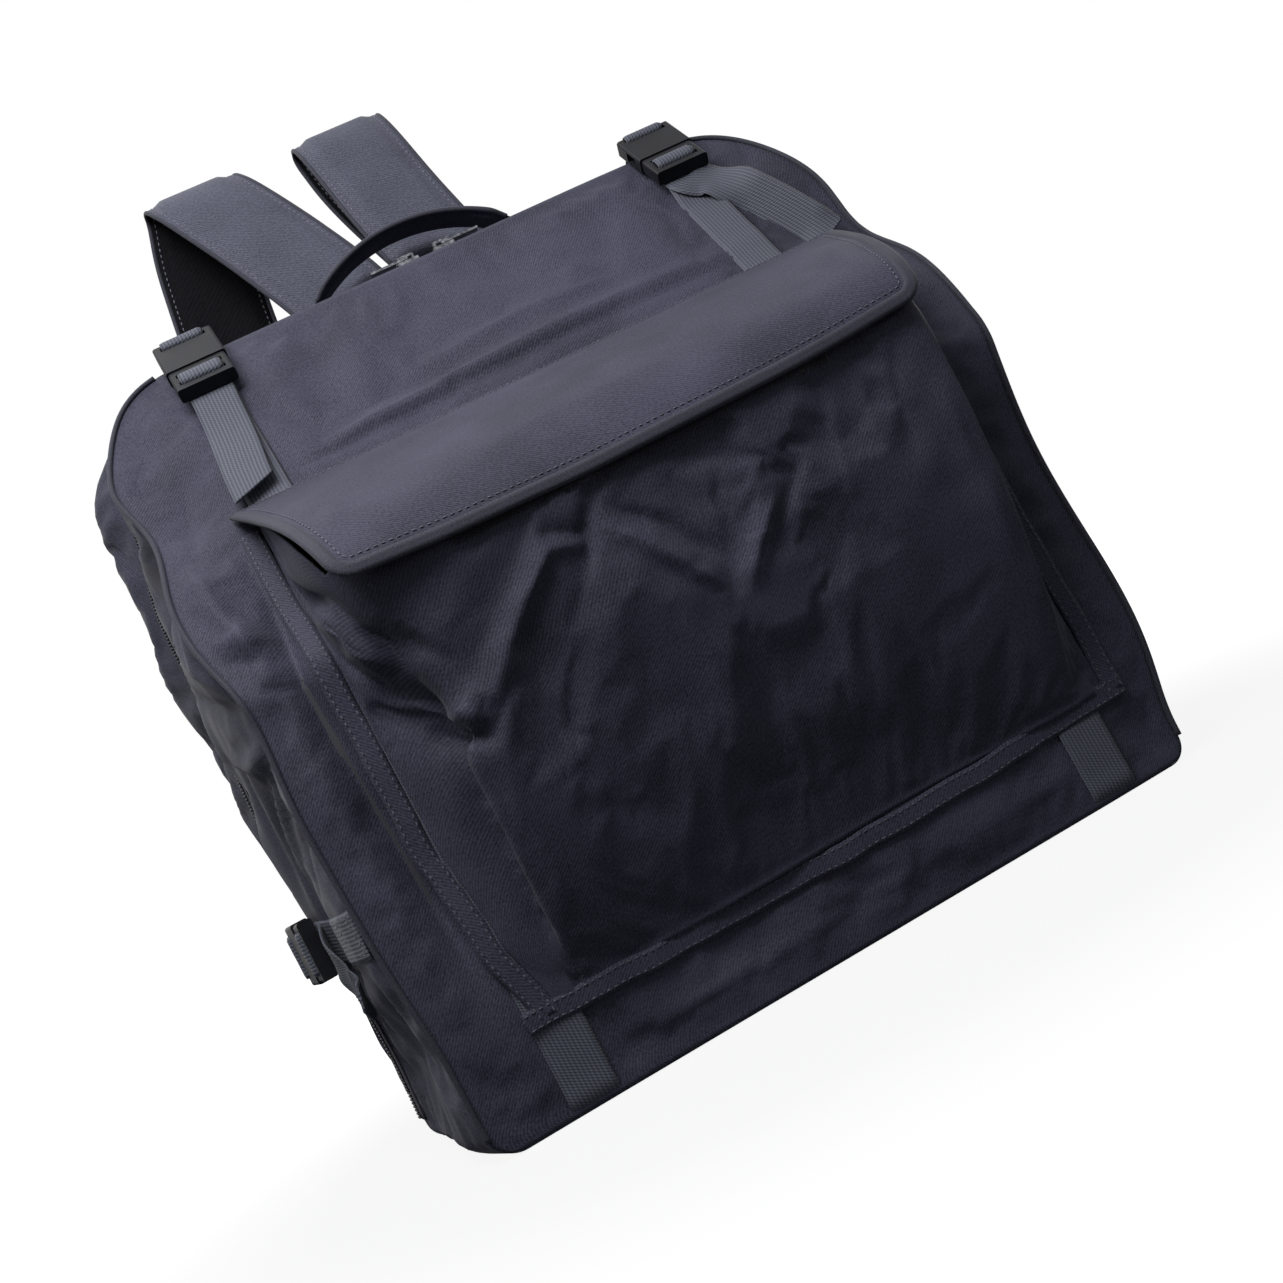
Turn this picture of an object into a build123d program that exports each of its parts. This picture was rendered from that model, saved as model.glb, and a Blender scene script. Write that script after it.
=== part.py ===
"""Soft backpack case for an accordion, in millimetres.

X runs to the right seen from the front, -Y is the front with the pocket, +Z is up.
The origin is the centre of the base on the floor. The front shell holds the base, the
front, the slope and the pocket. The back cover zips onto it and folds back on the seam
along the rear bottom edge.
"""
import os
from math import atan2, cos, degrees, radians, sin, tan

from build123d import *

# ---------------------------------------------------------------- driving dimensions
# Whole bag
HEIGHT = 535.0            # floor to the top of the zip frame
SHELL_DEPTH = 180.0       # front face to the zip plane
COVER_DEPTH = 70.0        # zip plane to the back face
BEND_Z = 290.0            # where the upright front turns into the slope
LEDGE = 15.0              # level strip between the slope and the zip plane
BEND_RADIUS = 30.0        # rounding of the bend
FRONT_HALF_BASE = 235.0   # half width of the front face at the floor
FRONT_FLARE = 39.0        # how much wider each half is, carried up to the top of the bag
ZIP_HALF_BASE = 273.0     # half width at the zip plane
ZIP_FLARE = 9.0           # how much wider each half is at the top of the zip plane
BULGE_DEPTH = 40.0        # zip plane to the fullest part of the cover
BULGE = 2.0               # how far the cover bulges past the zip frame
BACK_DRAW_BASE = 11.0     # how much narrower each half of the back face is than the zip frame
BACK_DRAW_TOP = 14.0
BACK_DROP = 7.0           # how far the back's top edge lies below the zip frame
TOP_RADIUS = 85.0         # upper corners
BASE_RADIUS = 35.0        # lower corners

# Cloth, foam and boards
FABRIC = 1.2
FOAM = 8.0
LINING = 0.8
BACK_FOAM = 12.0
BOARD = 3.0               # stiff board in the base
BASE_HEM_Z = 35.0         # top of the base piece at the sides
COVER_GAP = 1.0           # slot between the base and the cover's sides
HINGE_Z = 24.0            # height of the folding seam at the back
HINGE_GAP = 0.5

# Zip
ZIP_SLIT = 0.4            # slit between the two rows of teeth
ZIP_TAPE_WIDTH = 10.0
ZIP_TAPE = 0.8
ZIP_TOOTH_WIDTH = 2.2
ZIP_TOOTH_HEIGHT = 2.0
SLIDER_LENGTH = 16.0
SLIDER_WIDTH = 11.0
SLIDER_PLATE = 2.4
SLIDER_X = 14.0           # where each slider stands with the zip closed
BRIDGE_HEIGHT = 5.0
BRIDGE_ROD = 1.8
PULL_LENGTH = 28.0
PULL_WIDTH = 9.0
PULL_THICK = 1.6

# Pocket on the front
PIPING = 3.0
HEM = 3.0                 # thickness of the folded hem tape
HEM_WIDTH = 11.0
HEM_OUTER_X = 208.0
HEM_BOTTOM_Z = 55.0
POCKET_CLOTH = 1.5
POCKET_HALF_BOTTOM = 171.0
POCKET_HALF_TOP = 185.0
POCKET_OUT = 60.0         # how far the pocket's mouth stands out from the front
POCKET_RISE = 44.0        # the pocket's mouth above the bend
FLAP_RISE = 112.0         # the flap's seam on the slope above the bend
FLAP_HALF_SEAM = 224.0
FLAP_HALF_EDGE = 186.0
FLAP_CLOTH = 3.0
FLAP_LIP = 24.0           # the flap's edge, hanging down in front of the mouth
FLAP_CORNER = 30.0
FLAP_SEAM_GAP = 0.5
BINDING = 4.0
HOOK_SET_IN = 2.0         # hook tape above the flap's edge
LOOP_SET_IN = 4.0         # loop tape above the same height, on the pocket
HOOK_TAPE = 1.2
HOOK_TAPE_HEIGHT = 16.0
HOOK_TAPE_HALF = 120.0
CLEAR = 0.3               # air between pieces that move against each other

# Webbing and side release buckles
WEBBING = 30.0
WEBBING_THICK = 1.5
LAID_GAP = 0.1            # air between a webbing and the cloth laid over or under it
WEBBING_X = 179.0         # centre of the two upright webbings
TOP_TAIL = 60.0
SIDE_TAIL = 45.0
SIDE_STRAP_Z = 148.0
SIDE_SEWN = 30.0          # length of a webbing end that is sewn down
BUCKLE_WIDTH = 42.0
BUCKLE_THICK = 12.0
BUCKLE_WALL = 2.0
SOCKET_LENGTH = 36.0      # the female half
SOCKET_DEPTH = 26.0
SOCKET_HALF = 17.0        # half width of the hollow
MALE_LENGTH = 24.0
MALE_THICK = 10.0
BAR = 5.0                 # bars that the webbing goes round
PRONG_LENGTH = 21.0
PRONG_WIDTH = 3.6
PRONG_THICK = 6.0
PRONG_Y = 12.6
PRONG_HOOK = 2.2
HOOK_LENGTH = 10.0        # the hook takes up the prong's end
WINDOW_LENGTH = 13.0      # the socket's side windows, round the hooks
WINDOW_PAST = 1.0         # how far a window runs on past the prong's tip
GUIDE_SHORT = 6.0         # the male half's middle guide is this much shorter than a prong
GUIDE_THICK = 3.0
BUCKLE_TILT = 48.0        # how steeply the top buckles lie over the slope's edge
TOP_BUCKLE_BACK = 27.0    # from the slope's edge down to the prongs' roots
TOP_BUCKLE_LIFT = 7.5
SIDE_BUCKLE_Y = 25.0
SIDE_BUCKLE_LIFT = 14.5   # high enough to pass over the zip's teeth as the cover opens

# Handle
HANDLE_HALF = 90.0
HANDLE_Y = 109.0
HANDLE_RISE = 42.0        # swing axis to the top of the grip
HANDLE_END = 10.0         # radius of the round ends
HANDLE_THICK = 8.0
GRIP_HALF = 74.0
GRIP_WIDTH = 32.0
PATCH = 2.0               # sewn patches of doubled cloth
PATCH_SIZE = 28.0

# Shoulder straps
STRAP_WIDTH = 76.0
STRAP_THICK = 9.0
YOKE = 3.0
YOKE_HALF = 100.0
YOKE_HEIGHT = 85.0
YOKE_DROP = 30.0          # from the top of the bag down to the yoke
LOWER_WEBBING = 25.0
LOCK_DROP = 1.0           # from the strap's end to its adjuster
LOCK_LENGTH = 26.0
LOCK_THICK = 5.0
TAB_X = 215.0
TAB_Z = 68.0
TAB_SIZE = 34.0

# ---------------------------------------------------------------- places that follow
DEPTH = SHELL_DEPTH + COVER_DEPTH
Y_FRONT = -DEPTH / 2
Y_ZIP = Y_FRONT + SHELL_DEPTH
Y_BACK = DEPTH / 2
Y_BULGE = Y_ZIP + BULGE_DEPTH
FRONT_HALF_TOP = FRONT_HALF_BASE + FRONT_FLARE
ZIP_HALF_TOP = ZIP_HALF_BASE + ZIP_FLARE
BULGE_HALF_BASE = ZIP_HALF_BASE + BULGE
BULGE_HALF_TOP = ZIP_HALF_TOP + BULGE
BACK_HALF_BASE = ZIP_HALF_BASE - BACK_DRAW_BASE
BACK_HALF_TOP = ZIP_HALF_TOP - BACK_DRAW_TOP
POCKET_TOP_Z = BEND_Z + POCKET_RISE
FLAP_SEAM_Z = BEND_Z + FLAP_RISE
YOKE_TOP_Z = HEIGHT - YOKE_DROP
YOKE_BOTTOM_Z = YOKE_TOP_Z - YOKE_HEIGHT
SLOT_HALF = WEBBING / 2 + 1          # half width of a buckle's slot for the webbing
SLOPE_TOP_Y = Y_ZIP - LEDGE
SLOPE_RUN = SLOPE_TOP_Y - Y_FRONT
SLOPE_RISE = HEIGHT - BEND_Z
SLOPE_ANGLE = degrees(atan2(SLOPE_RISE, SLOPE_RUN))
FOAM_IN = FABRIC + FOAM              # inner face of the foam, from the outside
SKIN = FOAM_IN + LINING              # whole wall
COVER_BOTTOM_Z = BASE_HEM_Z + COVER_GAP
BOARD_TOP = FABRIC + BOARD
FLOOR_TOP = BOARD_TOP + FOAM         # top of the padding in the base
FLAT_HALF = FRONT_HALF_BASE - BASE_RADIUS   # half width of the flat part of the base
BIG = 2000.0                         # larger than the bag, for cutting blocks
SIDES = {"left": -1, "right": 1}


def slope_y(z):
    """Y of the slope's outer face at the height z."""
    return Y_FRONT + (z - BEND_Z) * SLOPE_RUN / SLOPE_RISE


def cover_top(y):
    """Height of the cover's top at y."""
    if y < Y_BULGE:
        return HEIGHT + BULGE * (y - Y_ZIP) / BULGE_DEPTH
    fall = BULGE + BACK_DROP
    return HEIGHT + BULGE - fall * (y - Y_BULGE) / (Y_BACK - Y_BULGE)


def box(x0, x1, y0, y1, z0, z1):
    """A block given by its faces."""
    centre = ((x0 + x1) / 2, (y0 + y1) / 2, (z0 + z1) / 2)
    return Pos(*centre) * Box(abs(x1 - x0), abs(y1 - y0), abs(z1 - z0))


def outline(y, half_base, half_top, height, inset, floor_inset):
    """Rounded outline of the bag seen from the front, at the depth y."""
    lower = max(BASE_RADIUS - inset, 1.0)
    upper = max(TOP_RADIUS - inset, 1.0)
    points = [
        (-half_base + inset, floor_inset),
        (half_base - inset, floor_inset),
        (half_top - inset, height - inset),
        (-half_top + inset, height - inset),
    ]
    line = FilletPolyline(*points, radius=[lower, lower, upper, upper], close=True)
    plane = Plane(origin=(0, y, 0), x_dir=(1, 0, 0), z_dir=(0, -1, 0))
    return (plane * make_face(line)).faces()[0].outer_wire()


def front_body(inset, floor_inset=None):
    """The front shell's outer form, drawn in by inset, from the front to the zip."""
    low = inset if floor_inset is None else floor_inset
    return Solid.make_loft(
        [
            outline(Y_FRONT - HEM, FRONT_HALF_BASE, FRONT_HALF_TOP, HEIGHT, inset, low),
            outline(Y_ZIP, ZIP_HALF_BASE, ZIP_HALF_TOP, HEIGHT, inset, low),
        ],
        ruled=True,
    )


def cover_body(inset, floor_inset=None):
    """The cover's outer form, drawn in by inset, from the zip to the back."""
    low = inset if floor_inset is None else floor_inset
    high = HEIGHT + BULGE
    return Solid.make_loft(
        [
            outline(Y_ZIP, ZIP_HALF_BASE, ZIP_HALF_TOP, HEIGHT, inset, low),
            outline(Y_BULGE, BULGE_HALF_BASE, BULGE_HALF_TOP, high, inset, low),
            outline(Y_BACK, BACK_HALF_BASE, BACK_HALF_TOP, HEIGHT - BACK_DROP, inset, low),
        ],
        ruled=True,
    )


def side_view(inset):
    """The shell seen from the side, as a block across the bag, its front drawn in by inset.

    The slope runs on above the bag, so that the outline alone forms the level top.
    """
    tilt = radians(SLOPE_ANGLE)
    front = Y_FRONT + inset
    # a point on the drawn in slope, and where that line meets the front and the zip plane
    start_y, start_z = Y_FRONT + inset * sin(tilt), BEND_Z - inset * cos(tilt)
    bend_z = start_z + (front - start_y) * tan(tilt)
    end_z = start_z + (Y_ZIP - start_y) * tan(tilt)
    points = [(front, -HEM), (front, bend_z), (Y_ZIP, end_z), (Y_ZIP, -HEM)]
    rounding = [0, BEND_RADIUS - inset, 0, 0]
    face = make_face(FilletPolyline(*points, radius=rounding, close=True))
    return extrude(Plane.YZ * face, amount=BIG / 2, both=True)


def layer(outer, inner):
    """A sheet along the front and the slope, between two insets of the side view."""
    return side_view(outer) - side_view(inner)


def ribbon(plane, points, thick, width):
    """A band of webbing: its centre line in the plane, and its width across it."""
    return extrude(plane * make_face(band_outline(points, thick)), width / 2, both=True)


def band_outline(points, thick):
    """The closed outline of a band of the given thickness round a line of points."""
    left, right = [], []
    for i, point in enumerate(points):
        before = Vector(*points[max(i - 1, 0)])
        after = Vector(*points[min(i + 1, len(points) - 1)])
        here = Vector(*point)
        steps = [s.normalized() for s in (here - before, after - here) if s.length > 0]
        along = sum(steps[1:], steps[0]).normalized()
        across = Vector(-along.Y, along.X)
        stretch = thick / 2 / max(along.dot(steps[0]), 0.5)
        left.append(here + across * stretch)
        right.append(here - across * stretch)
    return Polyline(*left, *reversed(right), close=True)


def mirrored_pair(make):
    """The left and the right copy of a piece, in one node."""
    return [make(side) for side in SIDES.values()]


# ---------------------------------------------------------------- front shell
def zip_cut(front):
    """Block that keeps what lies on one side of the slit between the zip's halves."""
    if front:
        return box(-BIG, BIG, -BIG, Y_ZIP - ZIP_SLIT / 2, -BIG, BIG)
    return box(-BIG, BIG, Y_ZIP + ZIP_SLIT / 2, BIG, -BIG, BIG)


def above(z):
    return box(-BIG, BIG, -BIG, BIG, z, BIG)


def below(z):
    return box(-BIG, BIG, -BIG, BIG, -BIG, z)


def shell_walls():
    """Fabric, foam and lining of the front shell, each as its own piece."""
    body_in, padded_in = front_body(FABRIC), front_body(FOAM_IN, FLOOR_TOP)
    front_skin = (body_in & layer(0, FABRIC)) - below(FABRIC)
    front_foam = (padded_in & layer(FABRIC, FOAM_IN)) & above(FLOOR_TOP)
    lining = (padded_in & side_view(FOAM_IN)) - (
        front_body(SKIN, FLOOR_TOP + LINING) & side_view(SKIN)
    )
    floor_back = Y_BACK - BACK_FOAM - FABRIC - CLEAR
    lining += box(
        -FLAT_HALF, FLAT_HALF, Y_ZIP - ZIP_SLIT, floor_back, FLOOR_TOP, FLOOR_TOP + LINING
    )
    pieces = {
        "front_panel": front_skin & below(BEND_Z),
        "slope_panel": front_skin & above(BEND_Z) & zip_cut(True),
        "front_padding": front_foam & below(BEND_Z),
        "slope_padding": front_foam & above(BEND_Z) & zip_cut(True),
        "front_lining": lining & (zip_cut(True) + below(COVER_BOTTOM_Z)),
    }
    sides = side_sheet(0, FABRIC, side_view(0), Y_BACK)
    foam = side_sheet(FABRIC, FOAM_IN, side_view(FABRIC), Y_BACK - FABRIC - CLEAR)
    for name, side in SIDES.items():
        pieces[f"side_gusset_{name}"] = sides & side_of_base(side)
        pieces[f"side_padding_{name}"] = foam & side_of_base(side)
    return pieces


def side_sheet(outer, inner, room, back_y):
    """A sheet round the sides between two insets, with the base's turned up corners."""
    low = FLOOR_TOP if inner == FOAM_IN else inner
    up_to_zip = zip_cut(True) + below(BASE_HEM_Z)
    front = (front_body(outer) - front_body(inner, low)) & room & up_to_zip
    corners = (cover_body(outer) - cover_body(inner, low)) & below(BASE_HEM_Z)
    return front + (corners & box(-BIG, BIG, Y_ZIP, back_y, -BIG, BIG))


def side_of_base(side):
    """Room for a side's pieces: beside the flat base, and up to the middle above it."""
    low = box(side * FLAT_HALF, side * BIG, -BIG, BIG, -BIG, BASE_HEM_Z)
    return low + box(0, side * BIG, -BIG, BIG, BASE_HEM_Z, BIG)


def base_pieces():
    """The base: a fabric sheet turned up at the back, a stiff board and padding over it."""
    back = Y_BACK - FABRIC
    turned_up = cover_body(FABRIC) & box(-BIG, BIG, back, Y_BACK, 0, HINGE_Z - HINGE_GAP)
    sheet = box(-FLAT_HALF, FLAT_HALF, Y_FRONT, Y_BACK, 0, FABRIC)
    front = Y_FRONT + FABRIC
    return {
        "base_panel": sheet + turned_up,
        "base_board": box(-FLAT_HALF, FLAT_HALF, front, back, FABRIC, BOARD_TOP),
        "base_padding": box(-FLAT_HALF, FLAT_HALF, front, back, BOARD_TOP, FLOOR_TOP),
    }


def front_zip():
    tape = front_body(-ZIP_TAPE, 0) - front_body(0, 0)
    teeth = front_body(-ZIP_TAPE - ZIP_TOOTH_HEIGHT, 0) - front_body(-ZIP_TAPE, 0)
    tape_room = box(-BIG, BIG, Y_ZIP - ZIP_TAPE_WIDTH, BIG, COVER_BOTTOM_Z, BIG)
    teeth_room = box(-BIG, BIG, Y_ZIP - ZIP_TOOTH_WIDTH, BIG, COVER_BOTTOM_Z, BIG)
    return {
        "zip_tape_front": tape & tape_room & zip_cut(True),
        "zip_teeth_front": teeth & teeth_room & zip_cut(True),
    }


def seam_piping():
    """Covered cord along the edge between the front and each side."""
    ring = front_body(0) - front_body(PIPING)
    bead = ring & layer(-PIPING, 0) & box(-BIG, BIG, -BIG, SLOPE_TOP_Y, BASE_HEM_Z, BIG)
    clear_x = WEBBING_X + BUCKLE_WIDTH / 2 + CLEAR
    return [bead & box(side * clear_x, side * BIG, -BIG, BIG, -BIG, BIG) for side in SIDES.values()]


# ---------------------------------------------------------------- pocket
POCKET_Y = Y_FRONT - POCKET_OUT
HEM_INNER_X = HEM_OUTER_X - HEM_WIDTH
POCKET_BOTTOM_Z = HEM_BOTTOM_Z + HEM_WIDTH
OVER_WEBBING = WEBBING_THICK + LAID_GAP


def webbing_room(extra=0.0):
    """Blocks that hold the two upright webbings, widened by extra."""
    half = WEBBING / 2 + extra
    left = box(-WEBBING_X - half, -WEBBING_X + half, -BIG, BIG, -BIG, BIG)
    return left + box(WEBBING_X - half, WEBBING_X + half, -BIG, BIG, -BIG, BIG)


def pocket_hem():
    """Flat folded tape that frames the pocket, on the front and up the slope."""
    frame = box(-HEM_OUTER_X, HEM_OUTER_X, -BIG, BIG, HEM_BOTTOM_Z, FLAP_SEAM_Z - HEM_WIDTH)
    frame -= box(-HEM_INNER_X, HEM_INNER_X, -BIG, BIG, POCKET_BOTTOM_Z, BIG)
    return layer(-HEM, 0) & frame - (side_view(-OVER_WEBBING) & webbing_room(CLEAR))


def pocket_panel():
    """The pocket's front, leaning out from its bottom seam to its mouth."""
    def edge(z, half, y):
        corners = [(-half, y), (half, y), (half, y + POCKET_CLOTH), (-half, y + POCKET_CLOTH)]
        return Wire.make_polygon([(x, v, z) for x, v in corners], close=True)

    low_y = Y_FRONT - OVER_WEBBING - POCKET_CLOTH
    return Solid.make_loft(
        [
            edge(POCKET_BOTTOM_Z, POCKET_HALF_BOTTOM, low_y),
            edge(POCKET_TOP_Z, POCKET_HALF_TOP, POCKET_Y),
        ],
        ruled=True,
    )


def flap_points():
    """The flap's underside, seen from the side: at its seam, and where it folds down."""
    lift = OVER_WEBBING + FLAP_SEAM_GAP
    tilt = radians(SLOPE_ANGLE)
    seam = (slope_y(FLAP_SEAM_Z) - lift * sin(tilt), FLAP_SEAM_Z + lift * cos(tilt))
    fold = (POCKET_Y - 2 * HOOK_TAPE - CLEAR, POCKET_TOP_Z + POCKET_CLOTH)
    return seam, fold


def under_flap_y(z):
    """Y on the flap's underside at the height z, with air to spare."""
    seam, fold = flap_points()
    share = (seam[1] - z - POCKET_CLOTH) / (seam[1] - fold[1])
    return seam[0] + (fold[0] - seam[0]) * share


def pocket_gusset(side):
    """The wedge of cloth that joins the pocket's front to the hem on one side."""
    low_y = Y_FRONT - OVER_WEBBING - POCKET_CLOTH
    grow = POCKET_TOP_Z - POCKET_BOTTOM_Z

    def panel_point(z):
        share = (z - POCKET_BOTTOM_Z) / grow
        half = POCKET_HALF_BOTTOM + (POCKET_HALF_TOP - POCKET_HALF_BOTTOM) * share
        return half, low_y + (POCKET_Y - low_y) * share

    def slice_at(z, wall_y, half, y):
        corners = [
            (HEM_INNER_X, wall_y),
            (half, y),
            (half, y + POCKET_CLOTH),
            (HEM_INNER_X - POCKET_CLOTH, wall_y),
        ]
        return Wire.make_polygon([(side * x, v, z) for x, v in corners], close=True)

    top_z = FLAP_SEAM_Z - HEM_WIDTH
    slices = [
        slice_at(POCKET_BOTTOM_Z, Y_FRONT - OVER_WEBBING, *panel_point(POCKET_BOTTOM_Z)),
        slice_at(BEND_Z, Y_FRONT, *panel_point(BEND_Z)),
        slice_at(POCKET_TOP_Z, slope_y(POCKET_TOP_Z), *panel_point(POCKET_TOP_Z)),
        slice_at(top_z, slope_y(top_z), HEM_INNER_X - 3 * POCKET_CLOTH, under_flap_y(top_z)),
    ]
    return Solid.make_loft(slices, ruled=True)


def flap_pieces():
    """The flap, seen from the side: sewn to the slope, out over the mouth, then down."""
    (seam_y, seam_z), (lip_y, fold_z) = flap_points()
    run = [
        (seam_y, seam_z),
        (lip_y, fold_z),
        (lip_y, fold_z - FLAP_LIP),
        (lip_y - FLAP_CLOTH, fold_z - FLAP_LIP),
        (lip_y - FLAP_CLOTH, fold_z + FLAP_CLOTH / 2),
        (seam_y, seam_z + FLAP_CLOTH),
    ]
    section = extrude(Plane.YZ * make_face(Polyline(*run, close=True)), BIG / 2, both=True)
    # seen square to the front, the flap narrows towards its lower edge
    low_z = fold_z - FLAP_LIP
    corners = [
        (-FLAP_HALF_SEAM, FLAP_SEAM_Z + 4 * FLAP_CLOTH),
        (FLAP_HALF_SEAM, FLAP_SEAM_Z + 4 * FLAP_CLOTH),
        (FLAP_HALF_EDGE, low_z),
        (-FLAP_HALF_EDGE, low_z),
    ]

    def cutter(inset):
        points = [
            (corners[0][0] + inset, corners[0][1]),
            (corners[1][0] - inset, corners[1][1]),
            (corners[2][0] - inset, corners[2][1] + inset),
            (corners[3][0] + inset, corners[3][1] + inset),
        ]
        rounding = [0, 0, FLAP_CORNER - inset, FLAP_CORNER - inset]
        face = make_face(FilletPolyline(*points, radius=rounding, close=True))
        return extrude(Plane.XZ * face, amount=BIG / 2, both=True)

    hook_z = fold_z - FLAP_LIP + HOOK_SET_IN
    return {
        "pocket_flap": section & cutter(BINDING),
        "flap_binding": section & (cutter(0) - cutter(BINDING)),
        "flap_hook_tape": box(
            -HOOK_TAPE_HALF, HOOK_TAPE_HALF, lip_y, lip_y + HOOK_TAPE,
            hook_z, hook_z + HOOK_TAPE_HEIGHT,
        ),
    }


def pocket_loop_tape():
    """Soft half of the hook and loop fastening, on the pocket's front below its mouth."""
    def edge(z):
        share = (z - POCKET_BOTTOM_Z) / (POCKET_TOP_Z - POCKET_BOTTOM_Z)
        low_y = Y_FRONT - OVER_WEBBING - POCKET_CLOTH
        y = low_y + (POCKET_Y - low_y) * share
        corners = [(-1, y), (1, y), (1, y - HOOK_TAPE), (-1, y - HOOK_TAPE)]
        return Wire.make_polygon([(x * HOOK_TAPE_HALF, v, z) for x, v in corners], close=True)

    low_z = POCKET_TOP_Z - FLAP_LIP + LOOP_SET_IN
    return Solid.make_loft([edge(low_z), edge(low_z + HOOK_TAPE_HEIGHT)], ruled=True)


# ---------------------------------------------------------------- webbing and buckles
def top_buckle_plane(x):
    """Where a top buckle lies: x along the strap, z out of it, at the prongs' roots."""
    tilt = radians(BUCKLE_TILT)
    y = SLOPE_TOP_Y - TOP_BUCKLE_BACK * cos(tilt) - TOP_BUCKLE_LIFT * sin(tilt)
    z = HEIGHT - TOP_BUCKLE_BACK * sin(tilt) + TOP_BUCKLE_LIFT * cos(tilt)
    return Plane(
        origin=(x, y, z), x_dir=(0, cos(tilt), sin(tilt)), z_dir=(0, -sin(tilt), cos(tilt))
    )


def wall_half(y, z):
    """Half width of the shell's side at the depth y and height z."""
    front = FRONT_HALF_BASE + (FRONT_HALF_TOP - FRONT_HALF_BASE) * z / HEIGHT
    back = ZIP_HALF_BASE + (ZIP_HALF_TOP - ZIP_HALF_BASE) * z / HEIGHT
    return front + (back - front) * (y - Y_FRONT + HEM) / (SHELL_DEPTH + HEM)


SIDE_LEAN = atan2(
    wall_half(Y_ZIP, SIDE_STRAP_Z) - wall_half(Y_FRONT, SIDE_STRAP_Z), SHELL_DEPTH
)


def side_point(side, y, lift):
    """A point lift away from the shell's side at the side straps' height."""
    x = wall_half(y, SIDE_STRAP_Z) + lift * cos(SIDE_LEAN)
    return side * x, y - lift * sin(SIDE_LEAN)


def side_buckle_plane(side):
    x, y = side_point(side, SIDE_BUCKLE_Y, SIDE_BUCKLE_LIFT)
    return Plane(
        origin=(x, y, SIDE_STRAP_Z),
        x_dir=(side * sin(SIDE_LEAN), cos(SIDE_LEAN), 0),
        z_dir=(side * cos(SIDE_LEAN), -sin(SIDE_LEAN), 0),
    )


MOUTH = 0.6               # gap between the two halves of a closed buckle
SLOT = 4.6                # opening beside a bar for the webbing


def female_half():
    """Socket with side windows, and a bar at its end for the webbing."""
    half_w, half_t = BUCKLE_WIDTH / 2, BUCKLE_THICK / 2
    end = MOUTH + SOCKET_LENGTH
    body = box(MOUTH, end, -half_w, half_w, -half_t, half_t)
    body = fillet(body.edges().filter_by(Axis.X), BUCKLE_WALL)
    room = PRONG_THICK / 2 + 2 * CLEAR
    body -= box(0, SOCKET_DEPTH, -SOCKET_HALF, SOCKET_HALF, -room, room)
    window_end = PRONG_LENGTH + WINDOW_PAST
    window = [window_end - WINDOW_LENGTH, window_end]
    body -= box(*window, -BUCKLE_WIDTH, BUCKLE_WIDTH, -room, room)
    bar = end - BAR + BUCKLE_WALL
    body -= box(bar - SLOT, bar, -SLOT_HALF, SLOT_HALF, -BUCKLE_THICK, BUCKLE_THICK)
    return body


def male_half():
    """Base of the male half: a ladder of bars with a seat for each prong."""
    half_w, half_t = BUCKLE_WIDTH / 2 - 1, MALE_THICK / 2
    body = box(-MALE_LENGTH, 0, -half_w, half_w, -half_t, half_t)
    body = fillet(body.edges().filter_by(Axis.X), BUCKLE_WALL)
    for slot in (-SLOT - BAR, -2 * SLOT - 2 * BAR):
        body -= box(slot, slot + SLOT, -SLOT_HALF, SLOT_HALF, -BUCKLE_THICK, BUCKLE_THICK)
    for side in SIDES.values():
        seat = Cylinder(PRONG_WIDTH / 2 + CLEAR, PRONG_THICK + 2 * CLEAR)
        body -= Pos(0, side * PRONG_Y, 0) * seat
    half_g, half_gt = PRONG_WIDTH / 2, GUIDE_THICK / 2
    guide = box(0, PRONG_LENGTH - GUIDE_SHORT, -half_g, half_g, -half_gt, half_gt)
    return body + guide


def prong(side):
    """One springy prong, with a hook near its tip."""
    half_w, half_t = PRONG_WIDTH / 2, PRONG_THICK / 2
    y = side * PRONG_Y
    root = Pos(0, y, 0) * Cylinder(half_w, PRONG_THICK)
    arm = box(0, PRONG_LENGTH, y - half_w, y + half_w, -half_t, half_t)
    hook_y = y + side * half_w
    hook_start = PRONG_LENGTH - HOOK_LENGTH
    hook = box(hook_start, PRONG_LENGTH, hook_y, hook_y + side * PRONG_HOOK, -half_t, half_t)
    return root + arm + hook


def prong_label(place, side, sign):
    """What a person calls one prong of a buckle, from where it lies on the bag."""
    across = place.y_dir * sign
    if abs(across.Z) > abs(across.X):
        return "upper" if across.Z > 0 else "lower"
    return "outer" if across.X * side > 0 else "inner"


def webbing_tail(length):
    """Loose end of the webbing, round the male half's middle bar and hanging below it."""
    half = WEBBING / 2
    under = -MALE_THICK / 2 - CLEAR
    over = MALE_THICK / 2 + CLEAR
    first = -BAR - WEBBING_THICK - CLEAR
    last = -2 * BAR - SLOT - CLEAR - WEBBING_THICK - CLEAR
    band = box(-MALE_LENGTH - length, first + WEBBING_THICK, -half, half, under - WEBBING_THICK, under)
    band += box(first, first + WEBBING_THICK, -half, half, under - WEBBING_THICK, over)
    band += box(last, first + WEBBING_THICK, -half, half, over, over + WEBBING_THICK)
    return band + box(last, last + WEBBING_THICK, -half, half, -MALE_THICK / 2, over)


def front_webbings():
    """The two upright webbings, from the base up the front and the slope."""
    band = layer(-WEBBING_THICK, 0) & webbing_room()
    top_z = HEIGHT - (TOP_BUCKLE_BACK + MALE_LENGTH) * sin(radians(BUCKLE_TILT))
    return band & box(-BIG, BIG, -BIG, BIG, 0, top_z)


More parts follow.
